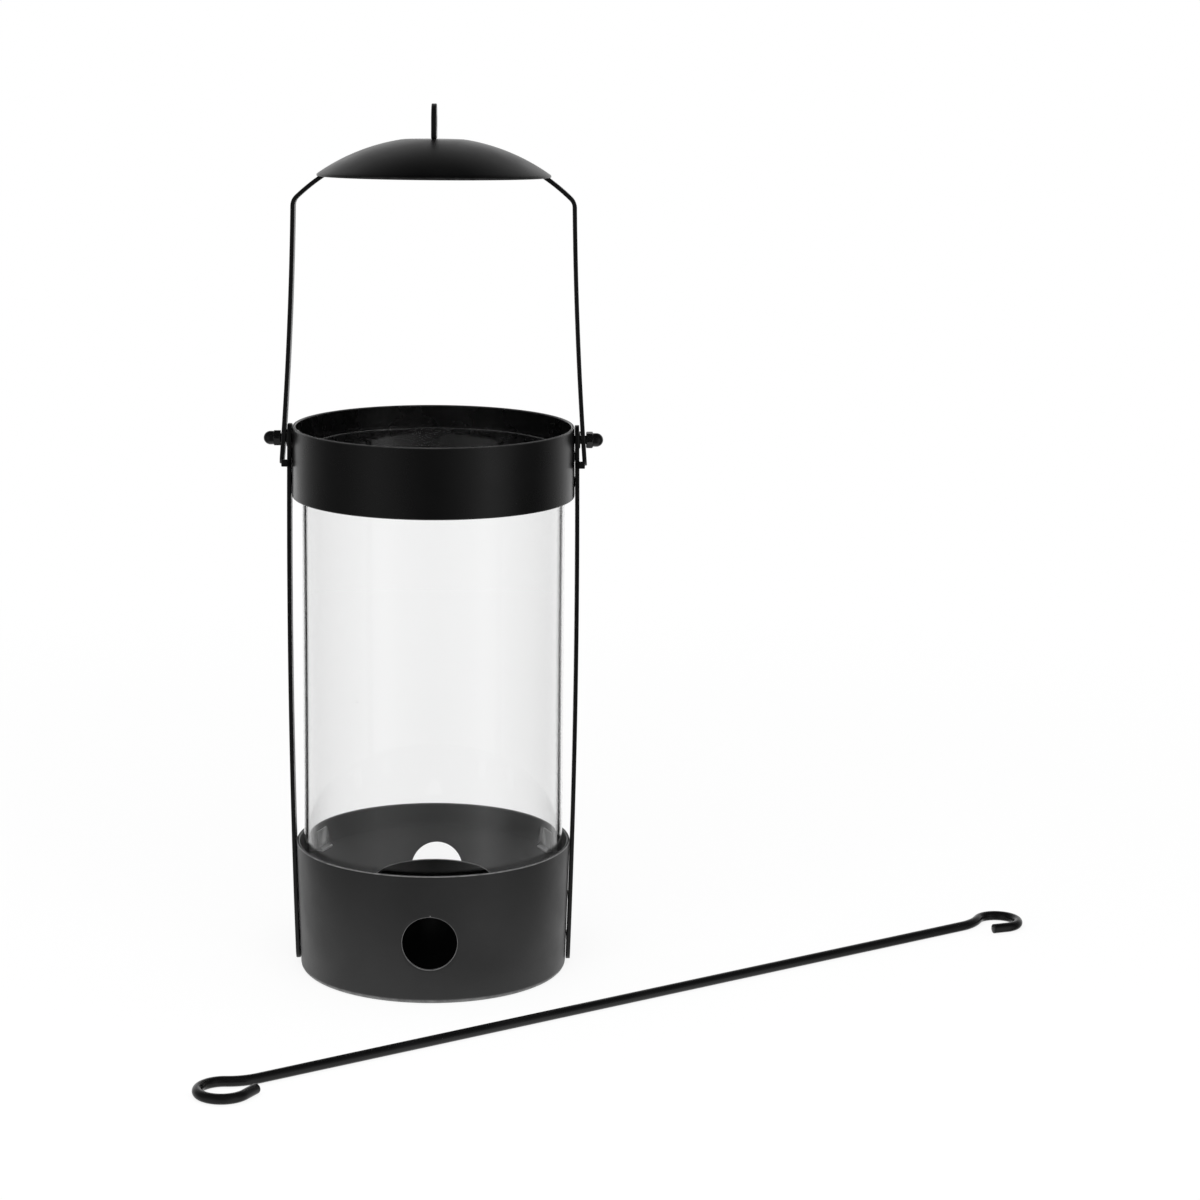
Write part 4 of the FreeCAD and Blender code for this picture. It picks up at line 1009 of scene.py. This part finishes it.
lean = math.radians(2.8)
arm_foot, arm_foot_x, arm_top, arm_top_x, arm_bow = 12.0, 71.85, 108.1, 66.1, 2000.0
shoulder, shoulder_radius, pivot_bore = math.radians(43.5), 7.05, 2.07
roof_radius, roof_ball, roof_flat, roof_top, roof_sheet, roof_gap = 54.2, 94.0, 13.9, 138.9, 1.2, 0.2
ball_centre = roof_top - math.sqrt(roof_ball ** 2 - roof_flat ** 2)
arch_ball, arch_flat = roof_ball - roof_sheet - roof_gap, roof_top - roof_sheet - roof_gap


def leaned(points):
    """From the bail's own frame, with the pivots at height 0, to where it leans back at rest."""
    y, z = points[:, 1], points[:, 2]
    return np.stack([points[:, 0], y * math.cos(lean) + z * math.sin(lean),
                     pivot_height - y * math.sin(lean) + z * math.cos(lean)], axis=1)


def bail_line():
    """The bar's outer face, from the right foot over the arch to the left one."""
    shoulder_place = (arch_ball * math.sin(shoulder), ball_centre + arch_ball * math.cos(shoulder))
    flat_x = math.sqrt(arch_ball ** 2 - (arch_flat - ball_centre) ** 2)
    arm = arc((arm_foot_x, -arm_foot), (arm_top_x, arm_top), -arm_bow, 600)
    heights = np.concatenate([end_steps[end_steps < arm_foot - bore_block] - arm_foot, bore_steps,
                              span(bore_block, arm_top - 2, 5), [arm_top - 2, arm_top - 0.7]])
    heights = np.unique(np.round(heights, 4))
    straight = np.stack([np.interp(heights, arm[:, 1], arm[:, 0]), heights], axis=1)
    bend = arc((arm_top_x, arm_top), shoulder_place, shoulder_radius, 12)
    arch = arc(shoulder_place, (flat_x, arch_flat), arch_ball, 26)[1:]
    half = np.vstack([straight, bend, arch, [(8.0, arch_flat), (3.0, arch_flat)]])
    return np.vstack([half, half[::-1] * (-1, 1)])


outer_line = bail_line()
pivot_x = np.interp(0, outer_line[:40, 1], outer_line[:40, 0])
bail = flat_bar("bail_bar", outer_line, [(pivot_x, 0), (-pivot_x, 0)], pivot_bore, leaned)
bail_coat = black_coat("bail_powder_coat", (0.003, 0.003, 0.0031), (0.03, 0.03, 0.03), (0.32, 0.40),
                       0.00001, 1100.0, 0.4, 0.06)
fit(bail, bail_coat, "bail_assembly", "powder_coat", "bail")

# ---------------------------------------------------------------- roof
# A shallow dome spun from 1.2 mm sheet, flat in the middle, that sits on the arch and keeps rain
# off.  Satin black powder coat, smooth enough to show a soft sheen round the top.

roof_angles = np.linspace(0, 2 * math.pi, 241)[:-1]
under_ball = roof_ball - roof_sheet


def dome_heights(radius, ball, flat):
    """The ball's height at each radius, cut off at the flat."""
    return np.minimum(ball_centre + np.sqrt(ball ** 2 - radius ** 2), flat)


crease = 1.6
upper_r = np.concatenate([np.linspace(4, roof_flat - crease, 4), roof_flat + np.linspace(-crease, crease, 9)[1:],
                          np.linspace(roof_flat + 4, roof_radius - 0.6, 24)])
upper_z = dome_heights(upper_r, roof_ball, roof_top)
under_z = dome_heights(upper_r, under_ball, roof_top - roof_sheet)
blend = np.clip((upper_r - roof_flat + crease) / (2 * crease), 0, 1)
slope = roof_flat / math.sqrt(roof_ball ** 2 - roof_flat ** 2)
soften = -slope * crease * 0.5 * 4 * blend * (1 - blend) * 0.5
rim_angle = math.atan2(roof_radius, math.sqrt(roof_ball ** 2 - roof_radius ** 2))
rim_middle = np.array([roof_radius - 0.3, (upper_z[-1] + under_z[-1]) / 2 - 0.1])
rim_swing = np.linspace(math.pi / 2 - rim_angle, -math.pi / 2 - rim_angle, 9)[1:-1]
rim_rows = rim_middle + np.stack([0.3 * np.cos(rim_swing), 0.6 * np.sin(rim_swing)], axis=1)
roof_profile = np.vstack([np.stack([upper_r, upper_z + soften], axis=1), rim_rows,
                          np.stack([upper_r, under_z + soften], axis=1)[::-1]])
roof_edge_weight = np.concatenate([0 * upper_r, np.sin(np.linspace(0, math.pi, 9)[1:-1]), 0 * upper_r])
roof = new_piece("roof_spun", turned(roof_profile, roof_angles), roof_edge_weight[:, None], place=leaned)
roof_coat = black_coat("roof_powder_coat", (0.0012, 0.0012, 0.0013), (0.04, 0.04, 0.04), (0.30, 0.38),
                       0.00001, 1000.0, 0.5, 0.06)
fit(roof, roof_coat, "bail_assembly", "powder_coat", "roof")

# ---------------------------------------------------------------- hanging eye
# A stamped plate 2.5 mm thick with a round top and a hole.  Its tenon goes through the roof and
# the arch and is hammered over underneath, which holds the three together.

eye_plate, eye_round, eye_hole, eye_rise, eye_edge = 2.5, 8.5, 3.7, 7.8, 0.45
eye_middle = roof_top + eye_rise
eye_foot = roof_top + roof_gap
eye_turn = np.linspace(0, 2 * math.pi, 161)[:-1]


def eye_reach(angles):
    """Distance from the hole's middle to the plate's outline: a half circle on a straight-sided
    foot, whose lower corners are rounded off by a smooth minimum of side and foot."""
    across, up = np.abs(np.cos(angles)), np.sin(angles)
    side = eye_round / np.maximum(across, 1e-6)
    foot = (eye_middle - eye_foot) / np.maximum(-up, 1e-6)
    sharpness = 24.0
    low = (side ** -sharpness + foot ** -sharpness) ** (-1 / sharpness)
    return np.where(up >= 0, eye_round, low)


def hanging_eye():
    """Rings of the plate's section, from the hole over one face and the outline to the other."""
    bend = np.linspace(0, math.pi / 2, 5)
    half = eye_plate / 2
    reach = eye_reach(eye_turn)
    hole_r = eye_hole + eye_edge * (1 - np.cos(bend))
    hole_x = half - eye_edge * (1 - np.sin(bend))
    front = [(eye_hole + 0 * reach, 0.0)]
    front += [(radius + 0 * reach, x) for radius, x in zip(hole_r, hole_x)]
    front += [(eye_hole + eye_edge + (reach - 2 * eye_edge - eye_hole) * share, half) for share in (0.1, 0.5, 0.9)]
    front += [(reach - eye_edge * (1 - np.sin(angle)), half - eye_edge * (1 - np.cos(angle))) for angle in bend]
    front += [(reach, 0.0)]
    radius = np.stack([part[0] for part in front])
    x = np.array([part[1] for part in front])
    radius = np.vstack([radius, radius[-2:0:-1]])
    x = np.concatenate([x, -x[-2:0:-1]])
    points = np.stack([np.broadcast_to(x[:, None], radius.shape), radius * np.cos(eye_turn),
                       eye_middle + radius * np.sin(eye_turn)], axis=2)
    count = len(front)
    edge = np.zeros(count)
    edge[1:6] = np.sin(2 * bend)
    edge[-6:-1] = np.sin(2 * bend)
    edge = np.concatenate([edge, edge[-2:0:-1]])
    return new_piece("hanging_eye_plate", points, edge[:, None], ring=True, place=leaned)


def hammered_head():
    """The tenon's end: an oval button, point = (a cos t cos s, b sin t cos s, low - h sin s)."""
    turn = np.linspace(0, 2 * math.pi, 65)[:-1]
    crown = np.linspace(0, math.pi / 2 - 0.1, 8)[:, None]
    low = arch_flat - bar_thickness - roof_gap
    square = (np.abs(np.cos(turn)) ** 3 + np.abs(np.sin(turn)) ** 3) ** (-1 / 3)
    x = 1.9 * np.cos(crown) ** 0.6 * np.cos(turn) * square
    y = 4.6 * np.cos(crown) ** 0.6 * np.sin(turn) * square
    z = np.broadcast_to(low - 0.95 * np.sin(crown), x.shape)
    top = np.stack([x[0], y[0], z[0] + 0.25], axis=1)[None]
    return new_piece("hammered_tenon", np.concatenate([top, np.stack([x, y, z], axis=2)]),
                     np.zeros((1, 1)) + 0.3, place=leaned)


eye_coat = black_coat("eye_powder_coat", (0.003, 0.003, 0.0031), (0.06, 0.06, 0.06), (0.28, 0.36),
                      0.00001, 1100.0, 0.6, 0.08)
fit(hanging_eye(), eye_coat, "bail_assembly", "powder_coat", "hanging_eye")
tenon = hammered_head()
tenon.data.materials.append(eye_coat)
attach(tenon, "bail_assembly")

# ---------------------------------------------------------------- loose hanging rod
# Round 4.7 mm steel rod, bent cold into a closed eye at one end and an open hook at the other and
# dipped in black.  It lies on the floor in front of the feeder.

rod_radius, rod_x, rod_y, rod_turn = 2.35, -71.2, -169.9, math.radians(33.76)
shaft_length, kink = 402.0, math.radians(35.0)
loop_radius, loop_offset, loop_end, loop_tip = 11.0, 4.8, math.radians(297.0), 9.0
hook_radius, hook_offset, hook_end, hook_tip = 10.2, 3.8, math.radians(-105.0), 7.5


def rod_line():
    """The rod's middle line in its own frame, the shaft along X: tip, eye, kink, shaft, kink, hook."""
    drop = 1 - math.cos(kink)
    loop_kink = (loop_radius * math.cos(kink) - loop_offset) / drop
    hook_kink = (hook_radius * math.cos(kink) - hook_offset) / drop
    loop_x = -(loop_kink + loop_radius) * math.sin(kink)
    hook_x = shaft_length + (hook_kink + hook_radius) * math.sin(kink)
    curl = np.linspace(loop_end, math.pi / 2 - kink, 90)[:, None]
    loop = np.array([loop_x, -loop_offset]) + loop_radius * np.hstack([np.cos(curl), np.sin(curl)])
    grip = np.linspace(math.pi / 2 + kink, hook_end, 80)[:, None]
    hook = np.array([hook_x, -hook_offset]) + hook_radius * np.hstack([np.cos(grip), np.sin(grip)])
    tip_way = np.array([math.sin(loop_end), -math.cos(loop_end)])
    hook_way = np.array([math.sin(hook_end), -math.cos(hook_end)])
    tip = loop[0] - tip_way * np.linspace(loop_tip, 0.8, 6)[:, None]
    end = hook[-1] + hook_way * np.linspace(0.8, hook_tip, 6)[:, None]
    return np.vstack([tip, loop, arc(loop[-1], (0, 0), loop_kink, 24)[1:-1],
                      np.stack([np.linspace(0, shaft_length, 68), np.zeros(68)], axis=1),
                      arc((shaft_length, 0), hook[0], hook_kink, 24)[1:-1], hook, end])


def bent_rod(name):
    """A circle carried along the rod's line; at each cut end it shrinks over a small chamfer."""
    line = rod_line()
    ends = np.array([0.0, 0.06, 0.18, 0.4, 0.8])
    runs = np.concatenate([[0], np.cumsum(np.linalg.norm(np.diff(line, axis=0), axis=1))])
    inner = runs[(runs > 1.2) & (runs < runs[-1] - 1.2)]
    lengths = np.concatenate([ends, inner, runs[-1] - ends[::-1]])
    line = at_lengths(line, lengths)
    from_end = np.minimum(lengths, lengths[-1] - lengths)
    near = np.clip(1 - from_end / 0.4, 0, 1)
    radius = rod_radius - 0.4 * (1 - np.sqrt(1 - near ** 2))
    around = np.linspace(0, 2 * math.pi, 33)[:-1]
    left = left_of(line)
    across = radius[:, None] * np.cos(around)
    points = np.stack([line[:, :1] + left[:, :1] * across, line[:, 1:] + left[:, 1:] * across,
                       rod_radius + radius[:, None] * np.sin(around)], axis=2)
    return new_piece(name, points, near[:, None], place=laid)


def laid(points):
    """From the rod's own frame to where it lies on the floor."""
    x, y = points[:, 0], points[:, 1]
    return np.stack([rod_x + x * math.cos(rod_turn) - y * math.sin(rod_turn),
                     rod_y + x * math.sin(rod_turn) + y * math.cos(rod_turn), points[:, 2]], axis=1)


rod_coat = black_coat("dipped_black", (0.004, 0.004, 0.0042), (0.04, 0.04, 0.04), (0.24, 0.32),
                      0.000008, 1300.0, 0.5, 0.03)
fit(bent_rod("hanging_rod_bent"), rod_coat, "rod", "coated_wire", "hanging_rod")
